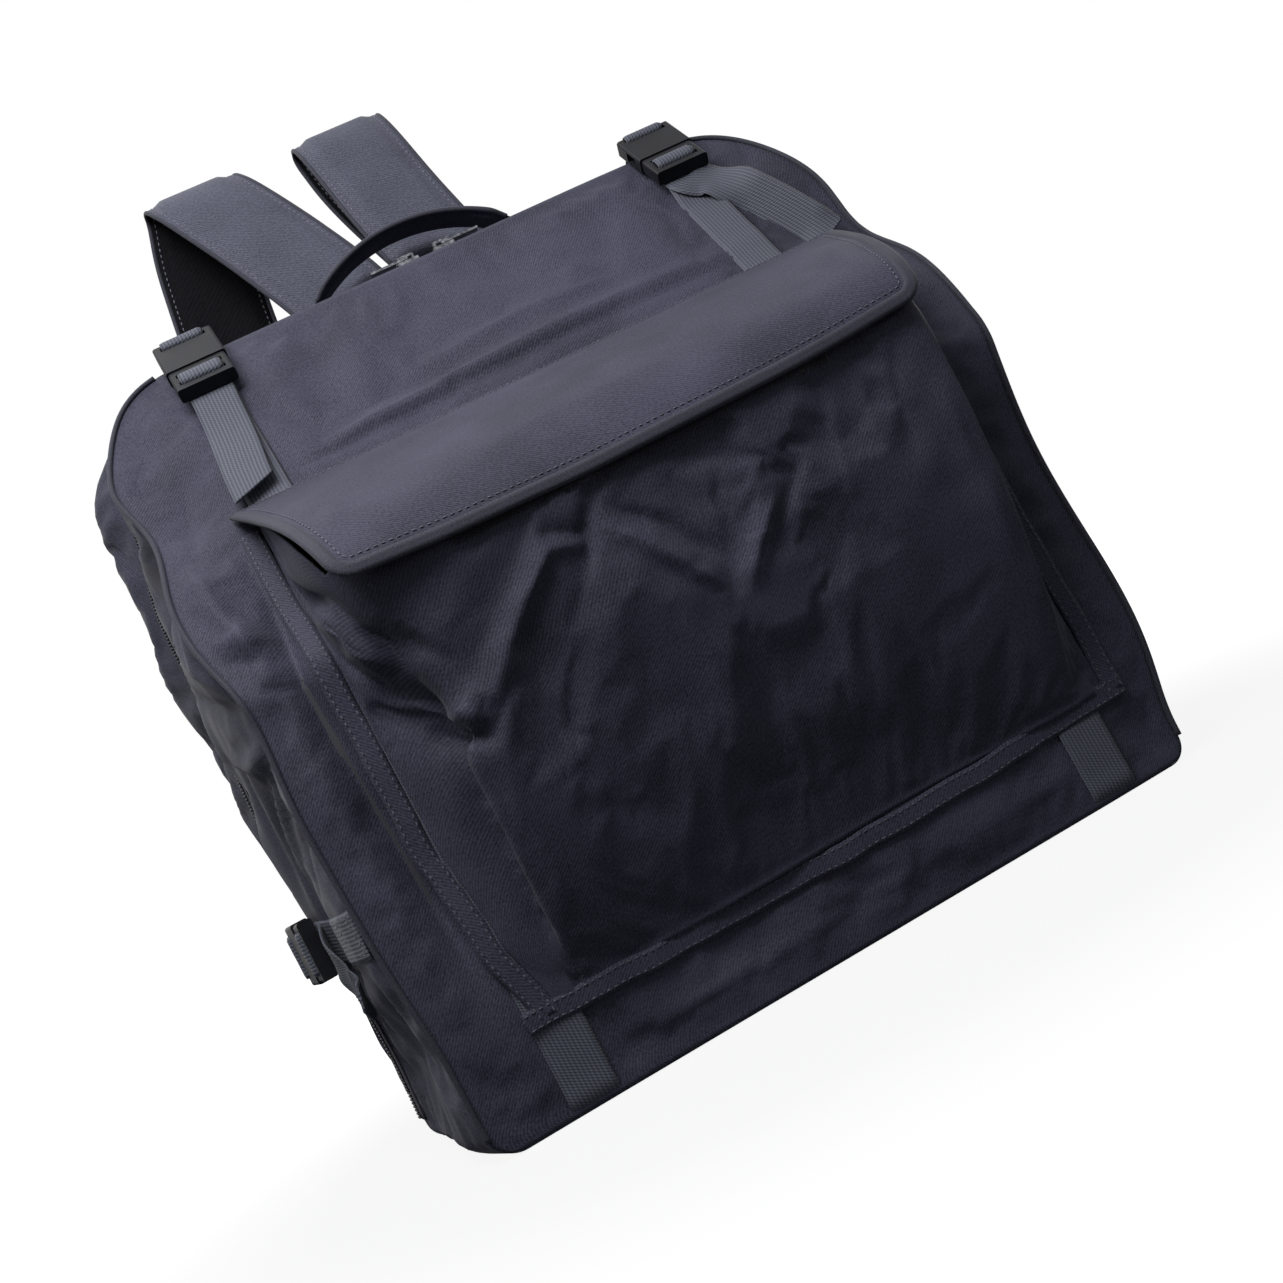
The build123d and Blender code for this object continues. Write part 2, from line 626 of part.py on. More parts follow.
def side_webbing(side):
    """Webbing sewn to the front seam and laid along the shell's side to the buckle."""
    half = WEBBING / 2
    end_y = SIDE_BUCKLE_Y - MALE_LENGTH
    room = box(
        0, side * BIG, Y_FRONT + PIPING, end_y, SIDE_STRAP_Z - half, SIDE_STRAP_Z + half
    )
    return (front_body(-OVER_WEBBING) - front_body(WEBBING_THICK - OVER_WEBBING)) & room


def to_world(plane, x, z):
    """A point of a buckle's own side view, in the bag's frame."""
    return plane.from_local_coords((x, 0, z))


def cover_webbing_top(side):
    """Webbing from a top socket's bar, over the zip, to the cover's top."""
    x = side * WEBBING_X
    place = top_buckle_plane(x)
    under = -BUCKLE_THICK / 2 - CLEAR - WEBBING_THICK / 2
    bar = MOUTH + SOCKET_LENGTH - BAR + BUCKLE_WALL
    start = to_world(place, bar - SLOT / 2, under)
    past = to_world(place, bar + BAR, under)
    flat = WEBBING_THICK / 2
    landing = Y_ZIP + ZIP_TAPE_WIDTH + BAR
    points = [
        (start.Y, start.Z),
        (past.Y, past.Z),
        (landing, cover_top(landing) + flat),
        (Y_BULGE, cover_top(Y_BULGE) + flat),
    ]
    band = ribbon(Plane.YZ.offset(x), points, WEBBING_THICK, WEBBING) - cover_body(0)
    return band + place * loop_in_slot(under)


def cover_webbing_side(side):
    """Webbing from a side socket's bar to the cover's side."""
    place = side_buckle_plane(side)
    under = -BUCKLE_THICK / 2 - CLEAR - WEBBING_THICK / 2
    bar = MOUTH + SOCKET_LENGTH - BAR + BUCKLE_WALL
    start = to_world(place, bar - SLOT / 2, under)
    past = to_world(place, bar + BAR, under)
    half = WEBBING / 2
    landing = Y_BULGE - SIDE_SEWN / 2
    bulge = BULGE_HALF_BASE + (BULGE_HALF_TOP - BULGE_HALF_BASE) * SIDE_STRAP_Z / HEIGHT
    zip_half = wall_half(Y_ZIP, SIDE_STRAP_Z)
    wall = zip_half + (bulge - zip_half) * (landing - Y_ZIP) / BULGE_DEPTH
    points = [
        (start.X, start.Y),
        (past.X, past.Y),
        (side * (wall + WEBBING_THICK / 2), landing + WEBBING_THICK),
    ]
    band = ribbon(Plane.XY.offset(SIDE_STRAP_Z), points, WEBBING_THICK, WEBBING)
    sewn = (cover_body(-WEBBING_THICK) - cover_body(0)) & box(
        0, side * BIG, landing, landing + SIDE_SEWN,
        SIDE_STRAP_Z - half, SIDE_STRAP_Z + half,
    )
    return (band - cover_body(0)) + sewn + place * loop_in_slot(under)


def loop_in_slot(under):
    """The turn of webbing through a socket's slot and back over its bar."""
    half = WEBBING / 2
    bar = MOUTH + SOCKET_LENGTH - BAR + BUCKLE_WALL
    low, high = under - WEBBING_THICK / 2, BUCKLE_THICK / 2 + CLEAR
    riser_end = bar - CLEAR
    band = box(riser_end - WEBBING_THICK, riser_end, -half, half, low, high)
    band += box(riser_end - WEBBING_THICK, bar + BAR, -half, half, high, high + WEBBING_THICK)
    end = bar + BAR
    return band + box(end - WEBBING_THICK, end, -half, half, low, high + WEBBING_THICK)


# ---------------------------------------------------------------- back cover
def cover_walls():
    """Fabric, foam and lining of the cover."""
    body, body_in = cover_body(0), cover_body(FABRIC)
    padded_in, hollow = cover_body(FOAM_IN), cover_body(SKIN)
    foam_back = Y_BACK - FABRIC - BACK_FOAM
    low_z = HINGE_Z + HINGE_GAP
    room = zip_cut(False) & above(COVER_BOTTOM_Z)
    sides = (body - body_in) & room
    skin = cover_body(FABRIC + 2 * CLEAR) & box(-BIG, BIG, Y_BACK - FABRIC, Y_BACK, low_z, BIG)
    slab = box(-BIG, BIG, foam_back, Y_BACK - FABRIC, low_z, BIG)
    # the base's turned up corners keep their room as the cover opens
    corners = below(COVER_BOTTOM_Z) - box(-FLAT_HALF, FLAT_HALF, -BIG, BIG, -BIG, BIG)
    foam = (body_in - padded_in) & room & box(-BIG, BIG, -BIG, Y_BACK - FABRIC, -BIG, BIG)
    lining = (padded_in & box(-BIG, BIG, -BIG, foam_back, -BIG, BIG)) - (
        hollow & box(-BIG, BIG, -BIG, foam_back - LINING, -BIG, BIG)
    )
    return {
        "back_panel": skin,
        "back_padding": cover_body(FOAM_IN + CLEAR, FLOOR_TOP + CLEAR) & slab - corners,
        "cover_gusset": sides,
        "cover_padding": foam,
        "cover_lining": lining & room,
    }


def back_zip():
    tape = cover_body(-ZIP_TAPE, 0) - cover_body(0, 0)
    teeth = cover_body(-ZIP_TAPE - ZIP_TOOTH_HEIGHT, 0) - cover_body(-ZIP_TAPE, 0)
    tape_room = box(-BIG, BIG, -BIG, Y_ZIP + ZIP_TAPE_WIDTH, COVER_BOTTOM_Z, BIG)
    teeth_room = box(-BIG, BIG, -BIG, Y_ZIP + ZIP_TOOTH_WIDTH, COVER_BOTTOM_Z, BIG)
    return {
        "zip_tape_back": tape & tape_room & zip_cut(False),
        "zip_teeth_back": teeth & teeth_room & zip_cut(False),
    }


# the strap's centre line, up, over and down: its place behind the back, and above the
# top of the bag
STRAP_BEHIND = [
    (YOKE + STRAP_THICK / 2, 25 - YOKE_HEIGHT - YOKE_DROP),
    (YOKE + STRAP_THICK / 2, -YOKE_DROP),
    (14, 25),
    (26, 85),
    (46, 143),
    (62, 168),
    (76, 174),
    (86, 163),
    (88, 115),
    (78, 5),
    (55, -155),
    (35, -295),
    (20, -385),
    (16, -410),
]
STRAP_SIDE_VIEW = [(Y_BACK + behind, HEIGHT + above_top) for behind, above_top in STRAP_BEHIND]
# where each strap's centre line lies across the bag, at the same stations
STRAP_ACROSS = {
    "left": [-42, -44, -52, -75, -100, -111, -114, -116, -128, -142, -147, -149, -150, -150],
    "right": [42, 40, 31, 20, 14, 12, 12, 13, 24, 60, 105, 135, 148, 150],
}


def shoulder_strap(name):
    """A padded strap, swept through its stations as flat sections."""
    sections = []
    stations = list(zip(STRAP_ACROSS[name], STRAP_SIDE_VIEW))
    for i, (x, (y, z)) in enumerate(stations):
        before = stations[max(i - 1, 0)][1]
        after = stations[min(i + 1, len(stations) - 1)][1]
        run, rise = after[0] - before[0], after[1] - before[1]
        size = (run**2 + rise**2) ** 0.5
        across = Vector(0, -rise / size, run / size) * (STRAP_THICK / 2)
        left, right = Vector(x - STRAP_WIDTH / 2, y, z), Vector(x + STRAP_WIDTH / 2, y, z)
        corners = [left + across, right + across, right - across, left - across]
        sections.append(Wire.make_polygon(corners, close=True))
    return Solid.make_loft(sections, ruled=True)


def strap_yoke():
    return box(-YOKE_HALF, YOKE_HALF, Y_BACK, Y_BACK + YOKE, YOKE_BOTTOM_Z, YOKE_TOP_Z)


def ladder_lock(side):
    """Adjuster at the lower end of a shoulder strap."""
    y, z = STRAP_SIDE_VIEW[-1]
    half = LOWER_WEBBING / 2 + BAR
    body = box(-half, half, -LOCK_THICK / 2, LOCK_THICK / 2, -LOCK_LENGTH, 0)
    slot_half = LOWER_WEBBING / 2 + 1
    for top in (-BAR, -BAR - SLOT - BAR):
        body -= box(-slot_half, slot_half, -LOCK_THICK, LOCK_THICK, top - SLOT, top)
    return Pos(side * STRAP_ACROSS["right"][-1], y, z - LOCK_DROP) * body


def lower_webbing(side):
    """Webbing from an adjuster down to a sewn tab near the bottom corner."""
    y, z = STRAP_SIDE_VIEW[-1]
    x = STRAP_ACROSS["right"][-1]
    half, flat = LOWER_WEBBING / 2, WEBBING_THICK / 2
    tab_y = Y_BACK + PATCH + flat

    def section(cx, cy, cz):
        corners = [(-half, -flat), (half, -flat), (half, flat), (-half, flat)]
        return Wire.make_polygon([(side * (cx + u), cy + v, cz) for u, v in corners], close=True)

    start_z = z - LOCK_DROP - LOCK_LENGTH + BAR
    start_y = y - LOCK_THICK / 2 - flat
    band = Solid.make_loft([section(x, start_y, start_z), section(TAB_X, tab_y, TAB_Z)], ruled=True)
    outer = TAB_X + TAB_SIZE / 2
    tab = make_face(
        Polyline(
            (outer, TAB_Z - TAB_SIZE / 2),
            (outer, TAB_Z + TAB_SIZE / 2),
            (TAB_X - TAB_SIZE, TAB_Z + TAB_SIZE / 2),
            close=True,
        )
    )
    patch = extrude(Plane.XZ * tab, -PATCH)
    patch = Pos(0, Y_BACK, 0) * patch
    return [band, patch if side > 0 else mirror(patch, Plane.YZ)]


# ---------------------------------------------------------------- handle
TOP_FALL = atan2(BULGE + BACK_DROP, Y_BACK - Y_BULGE)   # the cover's top, behind its bulge
HANDLE_AXIS_Z = cover_top(HANDLE_Y) + PATCH + (CLEAR + HANDLE_END) / cos(TOP_FALL)


def handle_grip():
    """Padded grip with two narrow ends that swing on their sewn patches."""
    axis, top = HANDLE_AXIS_Z, HANDLE_AXIS_Z + HANDLE_RISE
    outer = HANDLE_HALF + HANDLE_THICK / 2
    inner = HANDLE_HALF - HANDLE_THICK / 2
    curve = [
        ThreePointArc((-outer, axis), (0, top), (outer, axis)),
        Line((outer, axis), (inner, axis)),
        ThreePointArc((inner, axis), (0, top - HANDLE_THICK), (-inner, axis)),
        Line((-inner, axis), (-outer, axis)),
    ]
    arch = extrude(Plane.XZ * make_face(curve), GRIP_WIDTH / 2, both=True)
    grip = box(-GRIP_HALF, GRIP_HALF, -GRIP_WIDTH / 2, GRIP_WIDTH / 2, 0, BIG)
    ends = box(-outer, outer, -HANDLE_END, HANDLE_END, 0, BIG)
    body = arch & (grip + ends)
    for side in SIDES.values():
        disc = Rot(0, 90, 0) * Cylinder(HANDLE_END, HANDLE_THICK)
        body += Pos(side * HANDLE_HALF, 0, axis) * disc
    return Pos(0, HANDLE_Y, 0) * body


def handle_patch(side):
    """Patch of doubled cloth on the cover's top, where the handle is sewn down."""
    x, half = side * HANDLE_HALF, PATCH_SIZE / 2
    room = box(x - half, x + half, HANDLE_Y - half, HANDLE_Y + half, HEIGHT / 2, BIG)
    return (cover_body(-PATCH, 0) - cover_body(0)) & room


# ---------------------------------------------------------------- zip sliders
ZIP_TOP = HEIGHT + ZIP_TAPE + ZIP_TOOTH_HEIGHT
SLIDER_TOP = ZIP_TOP + CLEAR + SLIDER_PLATE
PULL_AXIS_Z = SLIDER_TOP + (BRIDGE_HEIGHT - BRIDGE_ROD) / 2


def zip_slider(side):
    """Slider over the teeth, with a bridge for its pull."""
    half_l, half_w = SLIDER_LENGTH / 2, SLIDER_WIDTH / 2
    low = HEIGHT + ZIP_TAPE + 2 * CLEAR
    groove = ZIP_TOOTH_WIDTH + CLEAR
    body = box(-half_l, half_l, -half_w, half_w, low, SLIDER_TOP)
    body -= box(-BIG, BIG, -groove, groove, 0, ZIP_TOP + CLEAR)
    span = half_l - BRIDGE_ROD
    bridge = box(-span, span, -BRIDGE_ROD, BRIDGE_ROD, SLIDER_TOP, SLIDER_TOP + BRIDGE_HEIGHT)
    room = span - BRIDGE_ROD
    bridge -= box(-room, room, -BIG, BIG, SLIDER_TOP, SLIDER_TOP + BRIDGE_HEIGHT - BRIDGE_ROD)
    return Pos(side * SLIDER_X, Y_ZIP, 0) * (body + bridge)


def zip_pull(side):
    """Flat pull on a pin through the slider's bridge, lying away from the middle."""
    half_t, half_w = PULL_THICK / 2, PULL_WIDTH / 2
    pin = Rot(90, 0, 0) * Cylinder(half_t, PULL_WIDTH)
    frame = box(0, PULL_LENGTH, -half_w, half_w, -half_t, half_t)
    window_end = SLIDER_LENGTH / 2 + CLEAR
    arm_y = BRIDGE_ROD + 2 * CLEAR
    frame -= box(-1, window_end, -arm_y, arm_y, -half_t, half_t)
    body = Pos(0, 0, PULL_AXIS_Z) * (pin + frame)
    if side < 0:
        body = mirror(body, Plane.YZ)
    return Pos(side * SLIDER_X, Y_ZIP, 0) * body


# ---------------------------------------------------------------- the whole bag
def build():
    nodes = {}
    nodes.update(shell_walls())
    nodes.update(base_pieces())
    nodes.update(front_zip())
    nodes["seam_piping"] = seam_piping()
    nodes["pocket_hem"] = pocket_hem()
    nodes["pocket_panel"] = pocket_panel()
    nodes["pocket_gussets"] = mirrored_pair(pocket_gusset)
    nodes["pocket_loop_tape"] = pocket_loop_tape()
    nodes.update(flap_pieces())
    nodes["front_webbings"] = front_webbings()
    nodes["side_webbings"] = mirrored_pair(side_webbing)
    nodes.update(cover_walls())
    nodes.update(back_zip())
    nodes["cover_webbings"] = mirrored_pair(cover_webbing_top) + mirrored_pair(cover_webbing_side)
    nodes["strap_yoke"] = strap_yoke()
    nodes["ladder_locks"] = mirrored_pair(ladder_lock)
    nodes["lower_webbings"] = mirrored_pair(lower_webbing)
    nodes["handle_grip"] = handle_grip()
    nodes["handle_patches"] = mirrored_pair(handle_patch)
    sockets = []
    for name, side in SIDES.items():
        nodes[f"shoulder_strap_{name}"] = shoulder_strap(name)
        nodes[f"zip_slider_{name}"] = zip_slider(side)
        nodes[f"zip_pull_{name}"] = zip_pull(side)
        places = {
            "top": (top_buckle_plane(side * WEBBING_X), TOP_TAIL),
            "side": (side_buckle_plane(side), SIDE_TAIL),
        }
        for where, (place, tail) in places.items():
            sockets.append(place * female_half())
            nodes[f"{where}_buckle_male_{name}"] = place * male_half()
            nodes[f"{where}_webbing_tail_{name}"] = place * webbing_tail(tail)
            for sign in SIDES.values():
                label = prong_label(place, side, sign)
                nodes[f"{where}_buckle_prong_{name}_{label}"] = place * prong(sign)
    nodes["female_buckles"] = sockets
    return nodes


def solids_of(shape):
    """Every solid in a shape or in a nested list of shapes."""
    if isinstance(shape, (list, tuple)):
        return [solid for item in shape for solid in solids_of(item)]
    return list(shape.solids())


def main():
    os.makedirs("parts", exist_ok=True)
    nodes = build()
    for name, shape in nodes.items():
        solids = solids_of(shape)
        export_step(solids[0] if len(solids) == 1 else Compound(solids), f"parts/{name}.step")
    print(len(nodes), "nodes")


main()
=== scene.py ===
# %% [markdown]
# # A soft backpack case for an accordion
# The case is sewn from thick Oxford cloth over foam. Almost all of it is soft, so the CAD
# solids give the places and the sizes, and this lesson gives the cloth its sag, its folds,
# its seams and its weave. All lengths below are in millimetres until a mesh is made.

# %% Load the frame
from math import atan2, ceil, cos, exp, floor, hypot, pi, radians, sin, sqrt, tan

import bmesh
import bpy
from mathutils import Matrix, Vector, noise
from mathutils.bvhtree import BVHTree


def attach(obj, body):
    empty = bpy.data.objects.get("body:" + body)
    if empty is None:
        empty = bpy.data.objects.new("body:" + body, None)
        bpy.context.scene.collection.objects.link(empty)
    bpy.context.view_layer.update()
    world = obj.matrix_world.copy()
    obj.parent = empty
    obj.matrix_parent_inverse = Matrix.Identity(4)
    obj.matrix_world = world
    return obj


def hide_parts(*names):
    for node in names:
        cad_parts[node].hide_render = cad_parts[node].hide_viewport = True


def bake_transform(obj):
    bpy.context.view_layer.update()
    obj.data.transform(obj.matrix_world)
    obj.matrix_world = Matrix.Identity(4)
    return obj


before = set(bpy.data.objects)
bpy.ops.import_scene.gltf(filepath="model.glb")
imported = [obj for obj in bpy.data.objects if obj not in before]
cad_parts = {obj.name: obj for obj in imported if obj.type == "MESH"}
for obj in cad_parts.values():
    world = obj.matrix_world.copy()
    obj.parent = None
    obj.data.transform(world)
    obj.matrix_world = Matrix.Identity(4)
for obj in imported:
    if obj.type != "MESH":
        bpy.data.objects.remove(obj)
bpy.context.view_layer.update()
scene = bpy.context.scene

# %% [markdown]
# ## Camera
# The picture was taken from low down in front, a little from the left, with the camera
# rolled to one side. So the camera gets its own right, up and forward directions as the
# columns of one matrix, instead of three angles that are hard to read.

# %% Camera
MM = 0.001
AZIMUTH, ELEVATION, ROLL = radians(12.55), radians(-3.69), radians(28.38)


def make_camera():
    forward = Vector((sin(AZIMUTH) * cos(ELEVATION), cos(AZIMUTH) * cos(ELEVATION), -sin(ELEVATION)))
    level = Vector((cos(AZIMUTH), -sin(AZIMUTH), 0))
    up = level.cross(forward)
    right = level * cos(ROLL) - up * sin(ROLL)
    top = level * sin(ROLL) + up * cos(ROLL)
    camera = bpy.data.objects.new("camera", bpy.data.cameras.new("camera"))
    scene.collection.objects.link(camera)
    turn = Matrix((right, top, -forward)).transposed().to_4x4()
    camera.matrix_world = Matrix.Translation(Vector((-231.8, -1047.7, 168.3)) * MM) @ turn
    camera.data.sensor_width = 36
    camera.data.lens = 45.59
    camera.data.shift_x, camera.data.shift_y = -0.0011, -0.0188
    scene.camera = camera
    return camera


print("camera at", make_camera().location)

# %% [markdown]
# ## Light, floor and background
# Black cloth shows its shape only where light falls across it. One large lamp from above
# and in front, a little to the left, lights the slope and the flap, and leaves the pocket's
# overhanging face dark. The background is white to the camera alone, so that it adds no
# light to the cloth.

# %% Light, floor and background
def linear(code):
    """A colour written as sRGB hex, turned to the linear numbers that shaders use."""
    parts = [int(code[i : i + 2], 16) / 255 for i in (0, 2, 4)]
    return (*[c / 12.92 if c <= 0.04045 else ((c + 0.055) / 1.055) ** 2.4 for c in parts], 1.0)


def add(tree, kind, links=(), **settings):
    """Adds one node. links gives (input, socket) pairs, and a setting names a property or an input."""
    node = tree.nodes.new(kind)
    for name, value in settings.items():
        label = name.replace("_", " ")
        found = [s for s in node.inputs if s.name.lower() == label.lower()]
        if hasattr(node, name):
            setattr(node, name, value)
        else:
            found[0].default_value = value
    for name, socket in links:
        slot = node.inputs[name]
        tree.links.new(socket, slot)
    return node


def make_world():
    world = bpy.data.worlds.new("studio")
    scene.world = world
    world.use_nodes = True
    tree = world.node_tree
    tree.nodes.clear()
    path = add(tree, "ShaderNodeLightPath")
    seen = add(tree, "ShaderNodeMath", [(0, path.outputs["Is Camera Ray"]), (1, path.outputs["Is Glossy Ray"])], operation="MAXIMUM")
    seen = add(tree, "ShaderNodeMath", [(0, seen.outputs[0]), (1, path.outputs["Is Transmission Ray"])], operation="MAXIMUM")
    dome = add(tree, "ShaderNodeBackground", Color=linear("E4E8F2"), Strength=0.22)
    white = add(tree, "ShaderNodeBackground", Color=(1, 1, 1, 1), Strength=1.0)
    mix = add(tree, "ShaderNodeMixShader", [(0, seen.outputs[0]), (1, dome.outputs[0]), (2, white.outputs[0])])
    add(tree, "ShaderNodeOutputWorld", [("Surface", mix.outputs[0])])


def make_lamp(name, place, aim, size, watts):
    """A large soft lamp, aimed at a point, with places in metres."""
    lamp = bpy.data.objects.new(name, bpy.data.lights.new(name, "AREA"))
    scene.collection.objects.link(lamp)
    lamp.data.shape, lamp.data.size, lamp.data.size_y = "RECTANGLE", size[0], size[1]
    lamp.data.energy = watts
    lamp.location = place
    lamp.rotation_euler = (Vector(aim) - Vector(place)).to_track_quat("-Z", "Y").to_euler()
    return lamp


def make_floor():
    """Pale sweep of paper: white to the camera, duller for the light that it throws back."""
    bm = bmesh.new()
    bmesh.ops.create_circle(bm, cap_ends=True, segments=64, radius=9.0)
    mesh = bpy.data.meshes.new("floor")
    bm.to_mesh(mesh)
    bm.free()
    floor_piece = bpy.data.objects.new("floor", mesh)
    scene.collection.objects.link(floor_piece)
    floor_piece.location.z = -0.0008
    paper = bpy.data.materials.new("white backdrop paper")
    paper.use_nodes = True
    tree = paper.node_tree
    tree.nodes.clear()
    path = add(tree, "ShaderNodeLightPath")
    matt = add(tree, "ShaderNodeBsdfDiffuse", Color=linear("68696B"))
    glow = add(tree, "ShaderNodeEmission", Color=(1, 1, 1, 1), Strength=1.22)
    where = add(tree, "ShaderNodeTexCoord").outputs["Object"]
    away = add(tree, "ShaderNodeVectorMath", [(0, where)], operation="LENGTH").outputs["Value"]
    reach = add(tree, "ShaderNodeMapRange", [("Value", away)])
    for label, value in (("From Min", 0.35), ("From Max", 1.0), ("To Min", 0.74), ("To Max", 1.0)):
        reach.inputs[label].default_value = value
    share = add(tree, "ShaderNodeMath", [(0, path.outputs["Is Camera Ray"]), (1, reach.outputs[0])], operation="MULTIPLY")
    mix = add(tree, "ShaderNodeMixShader", [(0, share.outputs[0]), (1, matt.outputs[0]), (2, glow.outputs[0])])
    add(tree, "ShaderNodeOutputMaterial", [("Surface", mix.outputs[0])])
    mesh.materials.append(paper)


make_world()
make_lamp("key", (-0.32, -0.55, 1.09), (0, -0.05, 0.36), (0.6, 0.45), 11.2)
make_lamp("rim", (-0.35, 0.5, 1.9), (0, 0.1, 0.5), (0.7, 0.7), 4)
make_floor()

# %% [markdown]
# ## Finishes
# Oxford cloth is a basket weave of thick polyester yarn with a coating behind it, so it is
# matt with a soft sheen across the yarns. The weave follows the cloth, so each panel has a
# UV map in metres and the pattern's period is set from the yarn. The real yarns are about
# 0.5 mm apart, too fine to show here, so the weave is drawn at about three times that.

# %% Woven finishes
def bands(tree, vector, period, rotation=0.0, kind="SIN"):
    """Stripes across a surface, with their period in millimetres."""
    turned = add(tree, "ShaderNodeMapping", [("Vector", vector)])
    turned.inputs["Rotation"].default_value = (0, 0, rotation)
    return add(
        tree, "ShaderNodeTexWave", [("Vector", turned.outputs[0])],
        wave_type="BANDS", bands_direction="X", wave_profile=kind, Scale=2 * pi / 20 / (period * MM),
    )


def combine(tree, a, b, how="MULTIPLY"):
    node = add(tree, "ShaderNodeMath", [(0, a)], operation=how)
    if isinstance(b, (int, float)):
        node.inputs[1].default_value = b
    else:
        tree.links.new(b, node.inputs[1])
    return node.outputs[0]


def new_finish(name, colour, rough, **sockets):
    """A principled shader with its plain sockets set, and its tree."""
    finish = bpy.data.materials.new(name)
    finish.use_nodes = True
    tree = finish.node_tree
    shader = tree.nodes["Principled BSDF"]
    shader.inputs["Base Color"].default_value = linear(colour)
    shader.inputs["Roughness"].default_value = rough
    for label, value in sockets.items():
        shader.inputs[label.replace("_", " ")].default_value = value
    return finish, tree, shader


def shade(tree, shader, factor, dark, light, spread=(0.3, 0.7)):
    """Base colour that drifts between two near tones."""
    ramp = add(tree, "ShaderNodeValToRGB", [("Fac", factor)])
    ramp.color_ramp.elements[0].position, ramp.color_ramp.elements[1].position = spread
    ramp.color_ramp.elements[0].color, ramp.color_ramp.elements[1].color = linear(dark), linear(light)
    tree.links.new(ramp.outputs["Color"], shader.inputs["Base Color"])


def bump(tree, shader, height, depth, strength=1.0):
    """Turns a height from 0 to 1 into bump of that depth in millimetres."""
    node = add(tree, "ShaderNodeBump", [("Height", height)], Strength=strength, Distance=depth * MM)
    tree.links.new(node.outputs[0], shader.inputs["Normal"])


def woven(name, dark, light, rough, period, depth, diagonal=radians(45), **sockets):
    """Cloth: a twill line broken up by uneven yarns, as in a thick basket weave."""
    finish, tree, shader = new_finish(name, light, rough, **sockets)
    uv = add(tree, "ShaderNodeUVMap", uv_map="weave").outputs[0]
    wave = add(tree, "ShaderNodeTexNoise", [("Vector", uv)], Scale=40.0, Detail=2.0)
    twill = bands(tree, uv, period, diagonal)
    for label, value in (("Distortion", 2.5), ("Detail", 2.0), ("Detail Scale", 2.0)):
        twill.inputs[label].default_value = value
    yarns = add(tree, "ShaderNodeTexNoise", [("Vector", uv)], Scale=0.95 / (period * MM), Detail=2.0, Roughness=0.7).outputs["Fac"]
    height = combine(tree, combine(tree, yarns, 0.78), combine(tree, twill.outputs["Fac"], 0.22), "ADD")
    bump(tree, shader, height, depth)
    mottle = add(tree, "ShaderNodeTexNoise", [("Vector", uv)], Scale=9.0, Detail=5.0, Roughness=0.6).outputs["Fac"]
    tone = combine(tree, combine(tree, mottle, 0.35), combine(tree, height, 0.65), "ADD")
    shade(tree, shader, tone, dark, light, (0.36, 0.64))
    rough_mix = combine(tree, combine(tree, wave.outputs["Fac"], 0.12), rough - 0.06, "ADD")
    tree.links.new(rough_mix, shader.inputs["Roughness"])
    return finish


CLOTH = woven("Oxford polyester cloth, charcoal", "25252E", "4B4B5C", 0.6, 1.7, 0.21, Specular_IOR_Level=0.1, Sheen_Weight=0.07, Sheen_Roughness=0.45)
# the straps are the same Oxford cloth drawn lighter: painted light for the lamp's light on the strap faces
STRAP_CLOTH_PAINTED_LIGHT = woven("Oxford polyester cloth, strap face", "33343E", "5E606F", 0.6, 1.7, 0.3, Specular_IOR_Level=0.12, Sheen_Weight=0.12, Sheen_Roughness=0.45)
LINING = woven("plain nylon lining, dark grey", "2C2C31", "3A3A41", 0.6, 1.2, 0.08, Specular_IOR_Level=0.25, Sheen_Weight=0.1)
TAPE = woven("ribbed polyester binding tape", "2A2A33", "44444F", 0.58, 1.3, 0.25, radians(90), Specular_IOR_Level=0.12, Sheen_Weight=0.08)
MESH = woven("knitted spacer mesh", "26262B", "3C3C44", 0.75, 3.2, 0.6, Specular_IOR_Level=0.2, Sheen_Weight=0.15)
# the strap's back is the spacer mesh drawn near black: painted shade for the underside turned away from the lamps
STRAP_BACK_MESH_PAINTED_SHADE = woven("spacer mesh, strap back darkened as painted shade", "0B0B0E", "16161A", 0.85, 3.2, 0.6, Specular_IOR_Level=0.06, Sheen_Weight=0.03)


def ribbed_webbing():
    """Polypropylene webbing: thick lengthwise ribs crossed by a fine herringbone."""
    finish, tree, shader = new_finish(
        "polypropylene webbing, woven", "50535E", 0.55, Specular_IOR_Level=0.14, Sheen_Weight=0.1, Sheen_Roughness=0.4
    )
    uv = add(tree, "ShaderNodeUVMap", uv_map="weave").outputs[0]
    ribs = bands(tree, uv, 2.4).outputs["Fac"]
    picks = bands(tree, uv, 1.6, radians(62)).outputs["Fac"]
    height = combine(tree, combine(tree, ribs, 0.6), combine(tree, picks, 0.4), "ADD")
    bump(tree, shader, height, 0.3)
    shade(tree, shader, height, "3E414B", "62656F", (0.1, 0.9))
    return finish


WEBBING = ribbed_webbing()


def hook_and_loop(name, dark, light, grain):
    finish, tree, shader = new_finish(name, light, 0.9, Specular_IOR_Level=0.15, Sheen_Weight=0.3)
    where = add(tree, "ShaderNodeTexCoord").outputs["Object"]
    fuzz = add(tree, "ShaderNodeTexVoronoi", [("Vector", where)], Scale=1 / (grain * MM)).outputs["Distance"]
    bump(tree, shader, fuzz, 0.8)
    shade(tree, shader, fuzz, dark, light, (0.0, 0.8))
    return finish


HOOKS = hook_and_loop("hook tape, nylon", "17171A", "2E2E33", 1.6)
LOOPS = hook_and_loop("loop tape, nylon", "1D1D21", "38383E", 1.1)
print("woven finishes", len(bpy.data.materials))

# %% [markdown]
# ## Plastic and metal
# The buckles are acetal, moulded with a fine spark texture: a soft highlight with a little
# grain in it. The zip coil is nylon, the sliders are zinc plated to gunmetal, which rubs
# bright on its edges, and the thread is bonded polyester.

